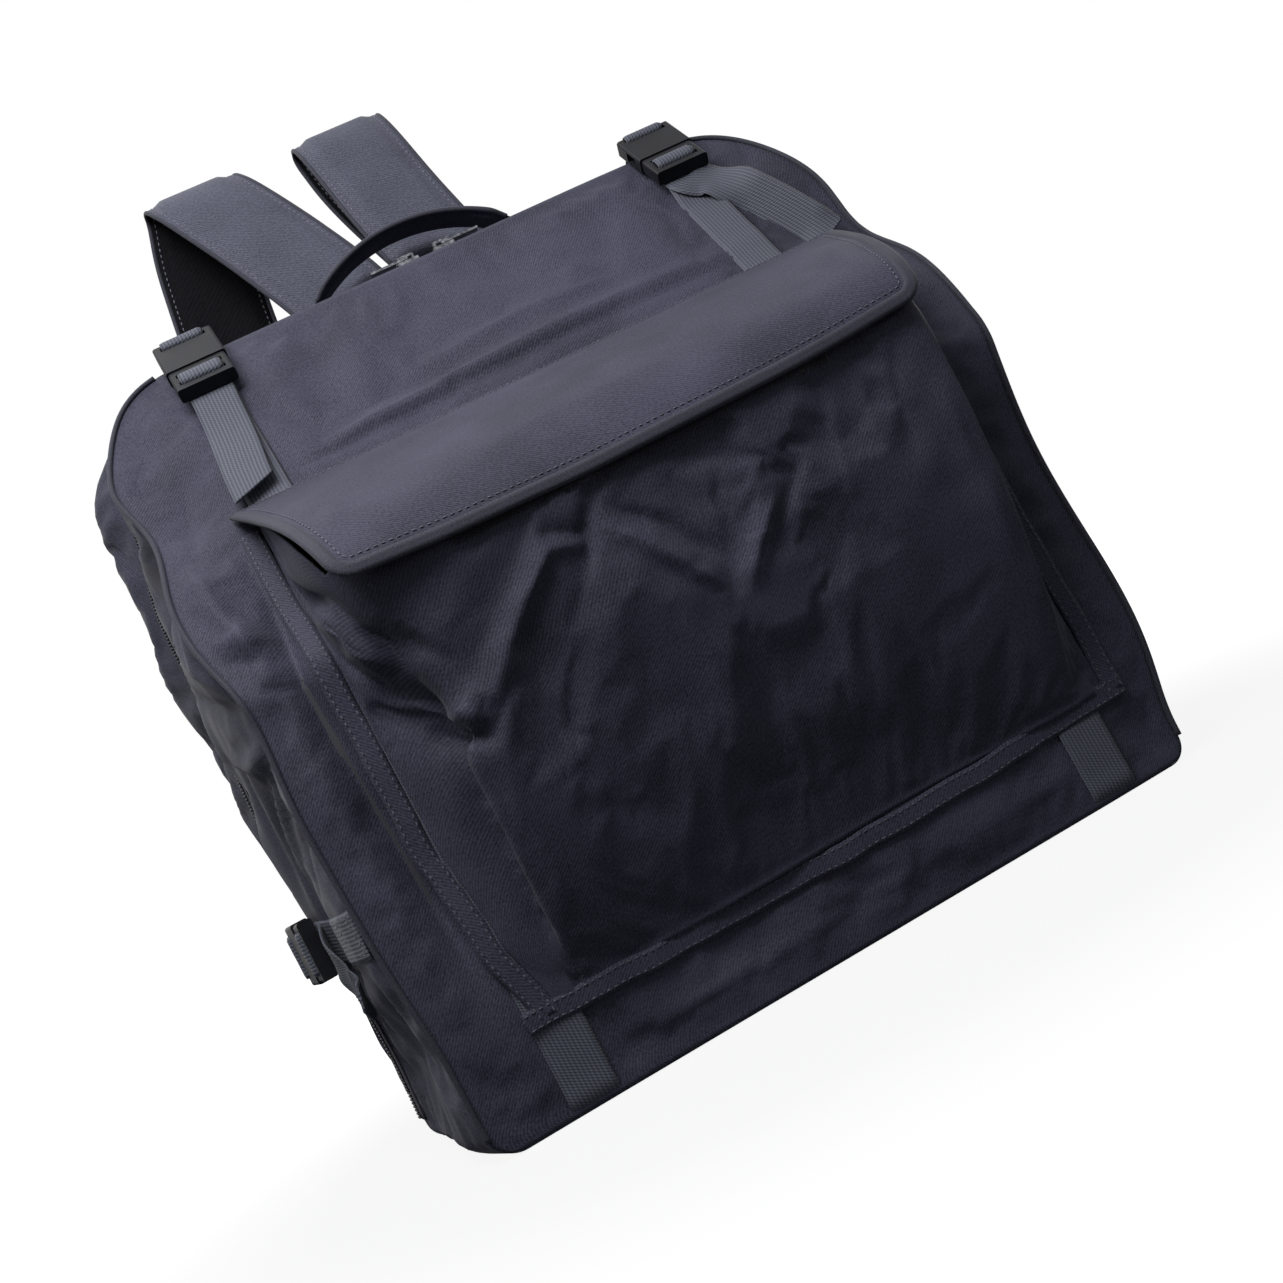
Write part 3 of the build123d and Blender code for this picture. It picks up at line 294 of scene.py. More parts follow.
# %% Plastic and metal
def moulded_plastic():
    finish, tree, shader = new_finish("acetal plastic, moulded", "1E1F24", 0.42, IOR=1.48, Specular_IOR_Level=0.14)
    where = add(tree, "ShaderNodeTexCoord").outputs["Object"]
    # spark texture of about 0.3 mm, drawn at 0.8 mm so that it shows
    grain = add(tree, "ShaderNodeTexNoise", [("Vector", where)], Scale=1 / (0.8 * MM), Detail=3.0).outputs["Fac"]
    bump(tree, shader, grain, 0.05, 0.6)
    smear = add(tree, "ShaderNodeTexNoise", [("Vector", where)], Scale=60.0, Detail=4.0).outputs["Fac"]
    tree.links.new(combine(tree, combine(tree, smear, 0.2), 0.34, "ADD"), shader.inputs["Roughness"])
    shade(tree, shader, smear, "131317", "1D1E23")
    return finish


def plated_metal():
    finish, tree, shader = new_finish("zinc, plated gunmetal", "8D8F96", 0.3, Metallic=1.0)
    where = add(tree, "ShaderNodeTexCoord").outputs["Object"]
    rub = add(tree, "ShaderNodeTexNoise", [("Vector", where)], Scale=350.0, Detail=4.0).outputs["Fac"]
    tree.links.new(combine(tree, combine(tree, rub, 0.25), 0.18, "ADD"), shader.inputs["Roughness"])
    shade(tree, shader, rub, "3C3D42", "85878D")
    bump(tree, shader, rub, 0.03, 0.5)
    return finish


def coil_nylon():
    finish, tree, shader = new_finish("nylon zip coil", "24242A", 0.38, Specular_IOR_Level=0.5)
    where = add(tree, "ShaderNodeTexCoord").outputs["Object"]
    wear = add(tree, "ShaderNodeTexNoise", [("Vector", where)], Scale=90.0, Detail=2.0).outputs["Fac"]
    shade(tree, shader, wear, "1C1C21", "303038")
    return finish


def sewing_thread(name, dark, light):
    finish, tree, shader = new_finish(name, light, 0.5, Specular_IOR_Level=0.35, Sheen_Weight=0.1)
    where = add(tree, "ShaderNodeTexCoord").outputs["Object"]
    ply = add(tree, "ShaderNodeTexNoise", [("Vector", where)], Scale=900.0, Detail=1.0).outputs["Fac"]
    shade(tree, shader, ply, dark, light)
    return finish


PLASTIC, GUNMETAL, COIL = moulded_plastic(), plated_metal(), coil_nylon()
THREAD = sewing_thread("bonded polyester thread", "4A4A56", "70707E")
HEM_THREAD = sewing_thread("polyester thread, hem shade", "30303A", "52525F")
print("finishes", [m.name for m in bpy.data.materials][:4], "...")

# %% [markdown]
# ## The bag's own shape
# Everything sewn to the shell has to agree about where the shell is. So the rounded outline
# of the bag, its side view and its sag are written once, as small functions of a place on
# the bag, and each panel asks them. The sag moves each place by a slow, smooth amount, so
# pieces that meet still meet after it.

# %% Sizes in millimetres, and the outline
HEIGHT, BEND_Z, HEM_Z = 535.0, 290.0, 35.0
Y_FRONT, Y_ZIP, Y_BULGE, Y_BACK = -125.0, 55.0, 95.0, 125.0
SLOPE_TOP_Y, BEND_RADIUS = 40.0, 30.0
TOP_RADIUS, BASE_RADIUS = 85.0, 15.0
SLOPE = atan2(HEIGHT - BEND_Z, SLOPE_TOP_Y - Y_FRONT)
WALL, FLOOR_TOP = 10.0, 13.0
# depth, half width at the base and carried up to the top, and height of the outline there
STATIONS = [(-128, 235, 274, 535), (Y_ZIP, 273, 282, 535), (Y_BULGE, 275, 284, 537), (Y_BACK, 262, 268, 528)]
BREAKS = (0.0, 0.2, 0.255, 0.67, 0.803, 1.0)      # where the outline's straights and arcs meet


def lerp(a, b, t):
    return a + (b - a) * t


def smooth(t):
    t = min(max(t, 0.0), 1.0)
    return t * t * (3 - 2 * t)


def station(y):
    """Half widths and height of the outline at the depth y."""
    for low, high in zip(STATIONS, STATIONS[1:]):
        if y <= high[0] or high is STATIONS[-1]:
            t = min(max((y - low[0]) / (high[0] - low[0]), 0.0), 1.0)
            return [lerp(a, b, t) for a, b in zip(low[1:], high[1:])]


def corners(y, inset, floor_z):
    """The two rounded corners of the outline's right half: centre, radius and the side's lean."""
    half_base, half_top, height = station(y)
    half_base, half_top, height = half_base - inset, half_top - inset, height - inset
    lean = atan2(half_top - half_base, height)
    low, high = max(BASE_RADIUS - inset, 1.0), max(TOP_RADIUS - inset, 1.0)
    low_x = half_base + (low + floor_z) * tan(lean) - low / cos(lean)
    high_x = half_base + (height - high) * tan(lean) - high / cos(lean)
    return (low_x, low + floor_z, low), (high_x, height - high, high), lean


def outline(y, p, inset=0.0, floor_z=0.0):
    """A place on the bag's outline: p is 0 at the base's middle and 1 at the top's middle."""
    side, p = (-1, -p) if p < 0 else (1, p)
    (lx, lz, lr), (hx, hz, hr), lean = corners(y, inset, floor_z)
    i = next(i for i in range(5) if p <= BREAKS[i + 1] or i == 4)
    t = (p - BREAKS[i]) / (BREAKS[i + 1] - BREAKS[i])
    if i == 0:
        x, z = lx * t, lz - lr
    elif i == 1:
        a = lerp(-pi / 2, -lean, t)
        x, z = lx + lr * cos(a), lz + lr * sin(a)
    elif i == 2:
        x = lerp(lx + lr * cos(lean), hx + hr * cos(lean), t)
        z = lerp(lz - lr * sin(lean), hz - hr * sin(lean), t)
    elif i == 3:
        a = lerp(-lean, pi / 2, t)
        x, z = hx + hr * cos(a), hz + hr * sin(a)
    else:
        x, z = hx * (1 - t), hz + hr
    return Vector((side * x, y, z))


def half_width(y, z, inset=0.0, floor_z=0.0):
    """Half width of the bag at a depth and a height, rounded corners included."""
    (lx, lz, lr), (hx, hz, hr), lean = corners(y, inset, floor_z)
    if z < lz - lr * sin(lean):
        return lx + sqrt(max(lr**2 - min(lz - z, lr) ** 2, 0.0))
    if z > hz - hr * sin(lean):
        return hx + sqrt(max(hr**2 - min(z - hz, hr) ** 2, 0.0))
    return lx + lr / cos(lean) + (z - lz) * tan(lean)


def front_depth(z, inset=0.0):
    """Depth of the front and the slope at a height: straight up, round the bend, and back."""
    radius, turn = BEND_RADIUS - inset, pi / 2 - SLOPE
    front = Y_FRONT + inset
    bend_z = BEND_Z - inset * tan(turn / 2)
    start = bend_z - radius * tan(turn / 2)
    end = start + radius * sin(turn)
    if z <= start:
        return front
    if z < end:
        return front + radius - sqrt(radius**2 - (z - start) ** 2)
    return front + (z - bend_z) / tan(SLOPE)


def bag_sag(place):
    """How far soft cloth at a place has moved from the plain shape."""
    x, y, z = place
    drift = noise.noise_vector(Vector((x, y, z)) / 150 + Vector((3.1, 7.7, 1.3)))
    hold = smooth(z / 60) * (1 - 0.75 * smooth((z - 470) / 60))
    move = Vector((drift.x * 5.0, drift.y * 4.0, drift.z * 2.0)) * hold
    # the sides belly out between the straps, and the left bend is crushed inwards
    for middle, pull, reach in SAGS:
        weight = exp(-sum(((a - b) / r) ** 2 for a, b, r in zip(place, middle, reach)))
        move += Vector(pull) * weight
    return move


def unsagged(place):
    """Where a place on sagged cloth lies on the plain shape, so that its seams can be found."""
    return place - bag_sag(place - bag_sag(place))


SAGS = [
    # middle of the sag, its move and its reach along x, y and z, all in mm
    ((-250, -115, 275), (6, 6, 2), (40, 40, 40)),
    ((-278, 40, 468), (22, 0, -3), (80, 46, 58)),
    ((-270, -40, 415), (15, 3, 0), (60, 42, 58)),
    ((-282, 45, 220), (-4, 0, 0), (80, 80, 80)),
    ((268, 20, 480), (-12, 0, -8), (70, 70, 70)),
    ((268, -30, 415), (-10, 20, -12), (58, 58, 58)),
    ((255, -110, 215), (-8, 2, 0), (75, 75, 75)),
    ((280, 40, 300), (5, 0, 0), (60, 60, 60)),
    ((-245, -90, 120), (-4, -2, 0), (60, 60, 60)),
    ((240, -125, 30), (-3, 4, 0), (40, 40, 40)),
    ((-248, -78, 14), (-9, -3, 0), (40, 62, 34)),
]
print("outline at the zip, top corner", outline(Y_ZIP, BREAKS[3]))

# %% [markdown]
# ## Cloth panels
# A panel starts as a flat grid with a UV map in metres, like cloth on a table, and each
# vertex is then laid where the bag's shape puts it. Folds are added along the cloth's own
# normal: each is a line of points with a height and a width, and it fades out at both ends,
# as a real crease does.

# %% Panels, folds and pieces
SHELL_CENTRE = Vector((0, 0, 0.25))


def laid_grid(columns, rows, place, size, turn_out=SHELL_CENTRE):
    """A grid laid out by place(u, v), with u and v from 0 to 1, in millimetres."""
    bm = bmesh.new()
    weave = bm.loops.layers.uv.new("weave")
    bmesh.ops.create_grid(bm, x_segments=columns, y_segments=rows, size=0.5)
    for face in bm.faces:
        for loop in face.loops:
            x, y, _ = loop.vert.co
            loop[weave].uv = ((x + 0.5) * size[0] * MM, (y + 0.5) * size[1] * MM)
    for vert in bm.verts:
        vert.co = place(vert.co.x + 0.5, vert.co.y + 0.5) * MM
    bm.normal_update()
    if turn_out is not None:
        facing = sum(f.normal.dot(f.calc_center_median() - turn_out) * f.calc_area() for f in bm.faces)
        if facing < 0:
            bmesh.ops.reverse_faces(bm, faces=bm.faces)
            bm.normal_update()
    return bm


def fold_height(point, folds):
    """Height of all the folds at a 2-D point of the cloth."""
    total = 0.0
    for line, height, width in folds:
        best, along = 1e9, 0.0
        length = sum((Vector(b) - Vector(a)).length for a, b in zip(line, line[1:]))
        run = 0.0
        for a, b in zip(line, line[1:]):
            a, b = Vector(a), Vector(b)
            step = b - a
            t = min(max((point - a).dot(step) / step.length_squared, 0.0), 1.0)
            away = (point - a - step * t).length
            if away < best:
                best, along = away, (run + step.length * t) / length
            run += step.length
        if best < 4 * width:
            fade = smooth(along / 0.3) * smooth((1 - along) / 0.3)
            total += height * fade * (0.6 * exp(-((best / width) ** 2)) + 0.4 * exp(-2.2 * best / width))
    return total


def relief(bm, height_at):
    """Moves each vertex along its normal by height_at(place in mm)."""
    bm.normal_update()
    moves = [(v, v.normal * height_at(v.co / MM) * MM) for v in bm.verts]
    for vert, move in moves:
        vert.co += move
    bm.normal_update()


def piece(name, bm, finish, body=None, stands_for=(), thick=None, flat=False):
    """Makes an object of a mesh, rides it on its body and gives cloth its thickness."""
    mesh = bpy.data.meshes.new(name)
    bm.to_mesh(mesh)
    bm.free()
    made = bpy.data.objects.new(name, mesh)
    scene.collection.objects.link(made)
    mesh.materials.append(finish)
    mesh.polygons.foreach_set("use_smooth", [not flat] * len(mesh.polygons))
    if thick:
        wall = made.modifiers.new("thickness", "SOLIDIFY")
        wall.thickness, wall.offset = thick * MM, -1.0
    if body:
        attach(made, body)
    if stands_for:
        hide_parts(*stands_for)
    print(f"{name}: {len(mesh.vertices)} vertices")
    return made


def apply_modifiers(made):
    """Writes a piece's modifiers into its mesh, for pieces that bend later."""
    graph = bpy.context.evaluated_depsgraph_get()
    mesh = bpy.data.meshes.new_from_object(made.evaluated_get(graph))
    made.modifiers.clear()
    made.data = mesh


def surface_of(made):
    """A tree for finding where a piece's surface is."""
    graph = bpy.context.evaluated_depsgraph_get()
    return BVHTree.FromObject(made, graph)


def settle(made, held, spare=0.02, frames=14, reach=4.0, press=0.0):
    """Lets cloth with a little spare length buckle between its sewn edges.

    The sewn vertices are held, the cloth is a few percent too large, and no vertex may go
    further than reach, because foam and neighbours are behind it.
    """
    group = made.vertex_groups.new(name="sewn")
    for vert in made.data.vertices:
        group.add([vert.index], held(vert.co / MM), "REPLACE")
    cloth = made.modifiers.new("cloth", "CLOTH")
    rules = cloth.settings
    rules.quality, rules.mass, rules.vertex_group_mass = 5, 0.25, "sewn"
    rules.tension_stiffness = rules.compression_stiffness = 25
    rules.shear_stiffness, rules.bending_stiffness = 12, 1.2
    rules.shrink_min = -spare
    rules.effector_weights.gravity = 0.0
    rules.use_pressure, rules.uniform_pressure_force = press != 0.0, press
    cloth.collision_settings.use_collision = False
    cloth.point_cache.frame_start, cloth.point_cache.frame_end = 1, frames
    start = [v.co.copy() for v in made.data.vertices]
    for step in range(1, frames + 1):
        scene.frame_set(step)
    graph = bpy.context.evaluated_depsgraph_get()
    done = made.evaluated_get(graph).data
    found = [v.co.copy() for v in done.vertices]
    made.modifiers.remove(cloth)
    made.vertex_groups.remove(group)
    scene.frame_set(1)
    for vert, old, new in zip(made.data.vertices, start, found):
        move = new - old
        if move.length > reach * MM:
            move *= reach * MM / move.length
        vert.co = old + move
    print(made.name, "settled, furthest", round(max((v.co - o).length for v, o in zip(made.data.vertices, start)) / MM, 1), "mm")


# %% [markdown]
# ## The front and the slope
# One panel runs up the front, round the bend and up the slope to the zip. It is held by the
# piping on both sides, and by the pocket's hem. It bulges between them, with a soft upright
# ridge beside the hem and a few creases across the slope.

# %% Front and slope
PROFILE = 290.0 + hypot(SLOPE_TOP_Y - Y_FRONT, HEIGHT - BEND_Z)


def profile_z(run):
    return run if run < BEND_Z else BEND_Z + (run - BEND_Z) * sin(SLOPE)


def front_place(x_share, run, inset=0.0, floor_z=0.0):
    """A place on the front or the slope, from the left edge to the right at a length up the cloth."""
    z = max(profile_z(run), floor_z)
    z = min(z, HEIGHT - inset)
    y = front_depth(z, inset)
    spot = Vector((lerp(-1, 1, x_share) * half_width(y, z, inset, floor_z), y, z))
    return spot + bag_sag(spot)


FRONT_FOLDS = [
    # soft upright ridges between the piping and the hem, then the crushed bend at the left
    ([(-229, 30), (-232, 150), (-234, 285)], 5.5, 10),
    ([(-203, 60), (-211, 180), (-217, 283), (-214, 312), (-210, 345), (-210, 396)], -12.0, 9),
    ([(-243, 392), (-240, 345), (-234, 320), (-228, 300)], 7.0, 10),
    ([(-268, 505), (-250, 516), (-232, 510)], -4.5, 5),
    ([(-262, 490), (-244, 503), (-228, 500)], 3.5, 6),
    ([(-264, 320), (-245, 315), (-227, 306)], -6.0, 5),
    ([(-262, 331), (-244, 327), (-230, 320)], 4.0, 6),
    ([(228, 40), (232, 170), (236, 290)], 4.0, 12),
    ([(-262, 312), (-238, 292), (-214, 284)], -5.0, 7),
    ([(-258, 330), (-236, 318), (-216, 322)], 4.5, 8),
    ([(-250, 270), (-236, 300), (-232, 345)], 3.0, 8),
    # the slope: a long crease above the flap, and a fainter one over it
    ([(-170, 424), (-60, 428), (60, 430), (205, 424)], 3.2, 7),
    ([(-172, 416), (-60, 420), (60, 421), (200, 415)], -3.2, 5),
    ([(-80, 449), (20, 452), (110, 447)], 1.6, 6),
    ([(-200, 500), (-196, 460), (-206, 420)], 3.0, 9),
    ([(-222, 470), (-226, 430), (-238, 390)], -3.0, 9),
    ([(190, 505), (206, 470), (222, 430)], -3.0, 10),
    ([(120, 520), (150, 490), (165, 455)], 1.5, 10),
    # the flat front below the pocket
    ([(-190, 28), (-60, 22), (80, 26), (200, 30)], 1.6, 12),
]


def front_relief(spot):
    plain = unsagged(spot)
    x, y, z = spot
    edge = smooth((half_width(min(plain.y, Y_ZIP), min(plain.z, 534.0)) - abs(plain.x)) / 30) * smooth(z / 30) * smooth((HEIGHT - z) / 25)
    ripple = noise.noise(Vector((x / 46, z / 60, 2.0))) * 1.6 + noise.noise(Vector((x / 19, z / 24, 5.0))) * 0.5
    return edge * (fold_height(Vector((x, z)), FRONT_FOLDS) + ripple)


def front_panel():
    bm = laid_grid(156, 170, lambda u, v: front_place(u, v * PROFILE), (550, PROFILE))
    relief(bm, front_relief)
    made = piece("front_and_slope", bm, CLOTH, "front_shell", ["front_panel", "slope_panel", "front_padding", "slope_padding"])

    def sewn(spot):
        x, y, z = unsagged(spot)
        near_edge = half_width(min(y, Y_ZIP), min(z, 534.0)) - abs(x)
        under_webbing = abs(abs(x) - 179) < 18
        under_hem = abs(abs(x) - 205) < 12 and 55 < z < 392
        return 1.0 if near_edge < 9 or z < 8 or z > HEIGHT - 9 or under_webbing or under_hem else 0.0

    settle(made, sewn, spare=0.012, reach=2.5)
    wall = made.modifiers.new("thickness", "SOLIDIFY")
    wall.thickness, wall.offset = 1.2 * MM, -1.0
    return made


front = front_panel()

# %% [markdown]
# ## The sides and the top
# One long band runs up the left side, over the top and down the right side, between the
# front's piping and the zip. It is narrow over the top and wide at the sides, where the
# cloth has most to spare: it collapses into long folds that fan out from the straps.

# %% Side band
BAND_START = BREAKS[1]


def band_place(u, v, inset=0.0, floor_z=0.0, start=BAND_START):
    """A place on the band: u from the seam to the zip, v from the left base over the top."""
    q = lerp(-1, 1, v)
    p = (1 - abs(q) * (1 - start)) * (1 if q >= 0 else -1)
    y = Y_ZIP
    for _ in range(6):
        y = min(front_depth(min(outline(y, p, inset, floor_z).z, HEIGHT - inset), inset), SLOPE_TOP_Y)
    spot = outline(lerp(y, Y_ZIP - 0.3, u), p, inset, floor_z)
    return spot + bag_sag(spot)


SIDE_FOLDS = [
    # left side in depth and height: creases down from the bend, and a fan above the strap
    ([(-118, 300), (-60, 330), (10, 395)], 5.0, 11),
    ([(-112, 285), (-55, 300), (20, 330)], -5.5, 9),
    ([(-108, 262), (-60, 262), (0, 280)], 4.5, 9),
    ([(-100, 235), (-75, 200), (-70, 165)], -4.5, 8),
    ([(-80, 250), (-48, 215), (-40, 168)], 4.5, 8),
    ([(-30, 300), (-5, 240), (0, 170)], -4.0, 9),
    ([(20, 330), (30, 250), (26, 180)], 3.5, 9),
    ([(-60, 130), (-40, 90), (-50, 45)], 4.5, 9),
    ([(-95, 125), (-80, 85), (-92, 50)], -4.5, 8),
    ([(-20, 128), (0, 85), (-5, 45)], -4.0, 9),
    ([(25, 125), (35, 80), (28, 48)], 3.5, 9),
    ([(-70, 350), (-30, 390), (25, 440)], 3.0, 10),
]


def side_relief(spot):
    x, y, z = unsagged(spot)
    seam = front_depth(min(z, HEIGHT))
    edge = smooth((y - seam) / 22) * smooth((Y_ZIP - 11 - y) / 16) * smooth((z - 2) / 30)
    where = Vector((y, z)) if x < 0 else Vector((y * 0.9 + 8, z * 0.96 + 14))
    ripple = noise.noise(Vector((y / 40, z / 70, 9.0 if x < 0 else 4.0))) * 2.2
    ripple += noise.noise(Vector((y / 17, z / 30, 11.0))) * 0.6
    return edge * (fold_height(where, SIDE_FOLDS) + ripple)


def side_band():
    bm = laid_grid(38, 330, band_place, (170, 1602), turn_out=None)
    facing = sum(f.normal.dot(f.calc_center_median() - Vector((0, -0.02, 0.25))) for f in bm.faces)
    if facing < 0:
        bmesh.ops.reverse_faces(bm, faces=bm.faces)
    relief(bm, side_relief)
    made = piece("sides_and_top", bm, CLOTH, "front_shell",
                 ["side_gusset_left", "side_gusset_right", "side_padding_left", "side_padding_right"])

    def sewn(spot):
        x, y, z = unsagged(spot)
        return 1.0 if y - front_depth(min(z, HEIGHT)) < 7 or Y_ZIP - y < 13 or z < 8 or z > 508 else 0.0

    settle(made, sewn, spare=0.03, reach=5.0)
    wall = made.modifiers.new("thickness", "SOLIDIFY")
    wall.thickness, wall.offset = 1.2 * MM, -1.0
    return made


sides = side_band()

# %% [markdown]
# ## The base and the back cover
# A stiff board keeps the base flat, so its cloth lies almost plain and turns up at the rear
# corners. The cover is the case's lid: a narrow band behind the zip and a padded back panel
# with sewn channels, where the bag lies against its bearer.

# %% Base
def base_half(y):
    """Half width of the base's flat at a depth: to where its rounded edge starts."""
    return corners(y, 0.0, 0.0)[0][0] + 1.5


def base_sheet():
    """The flat of the base, its edges rounded over board and foam."""
    def place(u, v):
        y = lerp(-121.5, 124, v)
        return Vector((lerp(-1, 1, u) * base_half(y), y, 0))

    bm = laid_grid(60, 40, place, (500, 246), turn_out=None)
    bmesh.ops.solidify(bm, geom=bm.faces[:], thickness=FLOOR_TOP * MM * 0.92)
    bmesh.ops.recalc_face_normals(bm, faces=bm.faces)
    low = min(v.co.z for v in bm.verts)
    for vert in bm.verts:
        x, y, z = vert.co / MM
        rim = smooth((4 - min(base_half(y) - abs(x), y + 121.5, 124 - y)) / 4)
        lift = noise.noise(Vector((x / 60, y / 60, 1.0))) * 0.3 if z > low / MM + 5 else 0
        vert.co.z = vert.co.z - low + (rim * 1.2 * (1 if z < low / MM + 5 else -1) + lift) * MM
    return piece("base", bm, CLOTH, "front_shell", ["base_panel", "base_board", "base_padding"])


def rear_corner(side):
    """The base's cloth turned up round a rear corner."""
    top = BREAKS[2]

    def place(u, v):
        spot = outline(lerp(Y_ZIP - 0.3, Y_BACK, u), side * lerp(BREAKS[1], top, v))
        return spot + bag_sag(spot) * smooth((Y_BACK - spot.y) / 50)

    bm = laid_grid(14, 14, place, (70, 55))
    return piece(f"rear_corner_{'left' if side < 0 else 'right'}", bm, CLOTH, "front_shell", thick=9)


def turned_up_strip():
    """Low strip at the back, where the cover's folding seam is sewn."""
    def place(u, v):
        z = 24.4 * v
        return Vector((lerp(-1, 1, u) * half_width(Y_BACK, z), Y_BACK - 0.1, z))

    return piece("rear_strip", laid_grid(80, 6, place, (500, 24)), CLOTH, "front_shell", thick=1.2)


base_sheet(), rear_corner(-1), rear_corner(1), turned_up_strip()

# %% Cover band and back panel
COVER_START = BREAKS[2] + 0.002


def cover_belly(p, z, side):
    """How far the cover's cloth bulges past its seams, most below the left shoulder."""
    full = lerp(4.0, 13.0 if side < 0 else 9.0, smooth((z - 180) / 150)) * (0.85 + 0.5 * noise.noise(Vector((z / 90, side * 4.0, 0))))
    return lerp(full, 1.5, smooth((abs(p) - BREAKS[3] - 0.01) / 0.07))


def cover_place(u, v, inset=0.0, start=COVER_START, y0=Y_ZIP + 0.3, y1=Y_BACK):
    """A place on the cover's band: u from the zip to the back, v from the left base over the top."""
    q = lerp(-1, 1, v)
    p = (1 - abs(q) * (1 - start)) * (1 if q >= 0 else -1)
    y = lerp(y0, y1, u)
    spot = outline(y, p, inset)
    spot.z = max(spot.z, 36.0)
    belly = sin(pi * u) * cover_belly(p, spot.z, -1 if p < 0 else 1)
    out = Vector((spot.x, 0, spot.z - 260)).normalized()
    return spot + out * belly + bag_sag(spot) * smooth((Y_BACK - y) / 50)


COVER_FOLDS = [
    ([(60, 470), (85, 430), (95, 380)], -3.0, 8),
    ([(70, 400), (95, 340), (100, 280)], 3.0, 8),
    ([(66, 330), (90, 260), (92, 200)], -3.0, 8),
    ([(68, 190), (92, 165), (100, 120)], -3.5, 7),
    ([(68, 120), (86, 90), (90, 50)], 3.5, 8),
]


def cover_relief(spot):
    x, y, z = spot
    edge = smooth((y - Y_ZIP - 11) / 14) * smooth((Y_BACK - y) / 16) * smooth((z - 34) / 25)
    top = 1 - 0.8 * smooth((z - 500) / 25)
    ripple = noise.noise(Vector((y / 30, z / 60, 21.0 if x < 0 else 14.0))) * 1.8
    return edge * top * (fold_height(Vector((y, z)), COVER_FOLDS if abs(x) > 200 else []) + ripple)


def cover_band():
    bm = laid_grid(16, 320, cover_place, (70, 1490))
    relief(bm, cover_relief)
    made = piece("cover_sides_and_top", bm, CLOTH, "back_cover", ["cover_gusset", "cover_padding"])

    def sewn(spot):
        x, y, z = spot
        return 1.0 if y < Y_ZIP + 12 or y > Y_BACK - 5 or z < 44 or z > 522 else 0.0

    settle(made, sewn, spare=0.03, reach=4.0)
    wall = made.modifiers.new("thickness", "SOLIDIFY")
    wall.thickness, wall.offset = 1.2 * MM, -1.0
    return made


CHANNELS_X = (-150.0, -62.0, 62.0, 150.0)
CHANNELS_Z = (140.0, 255.0, 372.0)


def back_relief(spot):
    """Sewn channels in the back's padding, deep at the stitching and full between."""
    x, y, z = spot
    rim = min(half_width(Y_BACK, z) - abs(x), z - 25, 527 - z)
    depth = smooth(rim / 14)
    groove = min(min(abs(x - c) for c in CHANNELS_X), min(abs(z - c) for c in CHANNELS_Z))
    puff = smooth(groove / 16)
    flat_top = smooth((z - 400) / 12) if abs(x) < 112 else 0.0
    return depth * (1 - flat_top) * (3.4 * puff - 3.0) + noise.noise(Vector((x / 50, z / 50, 3.0))) * 0.7 * depth * (1 - flat_top)


def back_panel():
    def place(u, v):
        z = lerp(24.6, 527.8, v)
        return Vector((lerp(-1, 1, u) * (half_width(Y_BACK, z) - 0.8), Y_BACK - 0.2, z))

    bm = laid_grid(150, 140, place, (530, 504))
    relief(bm, back_relief)
    made = piece("back_panel_padded", bm, MESH, "back_cover", ["back_panel", "back_padding"])
    wall = made.modifiers.new("thickness", "SOLIDIFY")
    wall.thickness, wall.offset = 9 * MM, -1.0
    return made


cover, back = cover_band(), back_panel()

# %% [markdown]
# ## The lining
# Inside, a thin nylon lining hides the foam. It is the same shape drawn in by the wall's
# thickness, so it asks the same functions with an inset, and it is seen only when the
# cover is folded down. A binding tape covers the cut edges all along the zip.

# %% Lining and bound edges
def joined(parts):
    """Several meshes as one, so that a lining is one piece."""
    whole = parts[0]
    for extra in parts[1:]:
        mesh = bpy.data.meshes.new("part")
        extra.to_mesh(mesh)
        extra.free()
        whole.from_mesh(mesh)
        bpy.data.meshes.remove(mesh)
    whole.normal_update()
    return whole


def front_lining():
    wall = laid_grid(60, 70, lambda u, v: front_place(u, lerp(FLOOR_TOP, PROFILE - 8, v), WALL, FLOOR_TOP), (520, PROFILE))
    ring = laid_grid(20, 200, lambda u, v: band_place(u, v, WALL, FLOOR_TOP, 0.0), (170, 2000), turn_out=None)
    for bm in (wall, ring):
        facing = sum(f.normal.dot(f.calc_center_median() - Vector((0, 0.05, 0.25))) for f in bm.faces)
        if facing < 0:
            bmesh.ops.reverse_faces(bm, faces=bm.faces)
    def floor_place(u, v):
        return Vector((lerp(-1, 1, u) * 198, lerp(Y_ZIP - 1, 111, v), FLOOR_TOP))
    rear_floor = laid_grid(30, 8, floor_place, (396, 56))
    whole = joined([wall, ring, rear_floor])
    relief(whole, lambda spot: -1.2 * abs(noise.noise(spot / 55)) - 0.3)
    return piece("shell_lining", whole, LINING, "front_shell", ["front_lining"], thick=0.8)


def cover_lining():
    ring = laid_grid(10, 200, lambda u, v: cover_place(u, v, WALL, COVER_START, Y_ZIP + 0.4, 111), (56, 1480))
    def place(u, v):
        z = lerp(36, 517, v)
        return Vector((lerp(-1, 1, u) * half_width(112, z, WALL), 111.4, z))
    wall = laid_grid(70, 70, place, (510, 480))
    whole = joined([ring, wall])
    relief(whole, lambda spot: -1.0 * abs(noise.noise(spot / 55)) - 0.2)
    return piece("cover_lining_cloth", whole, LINING, "back_cover", ["cover_lining"], thick=0.8)


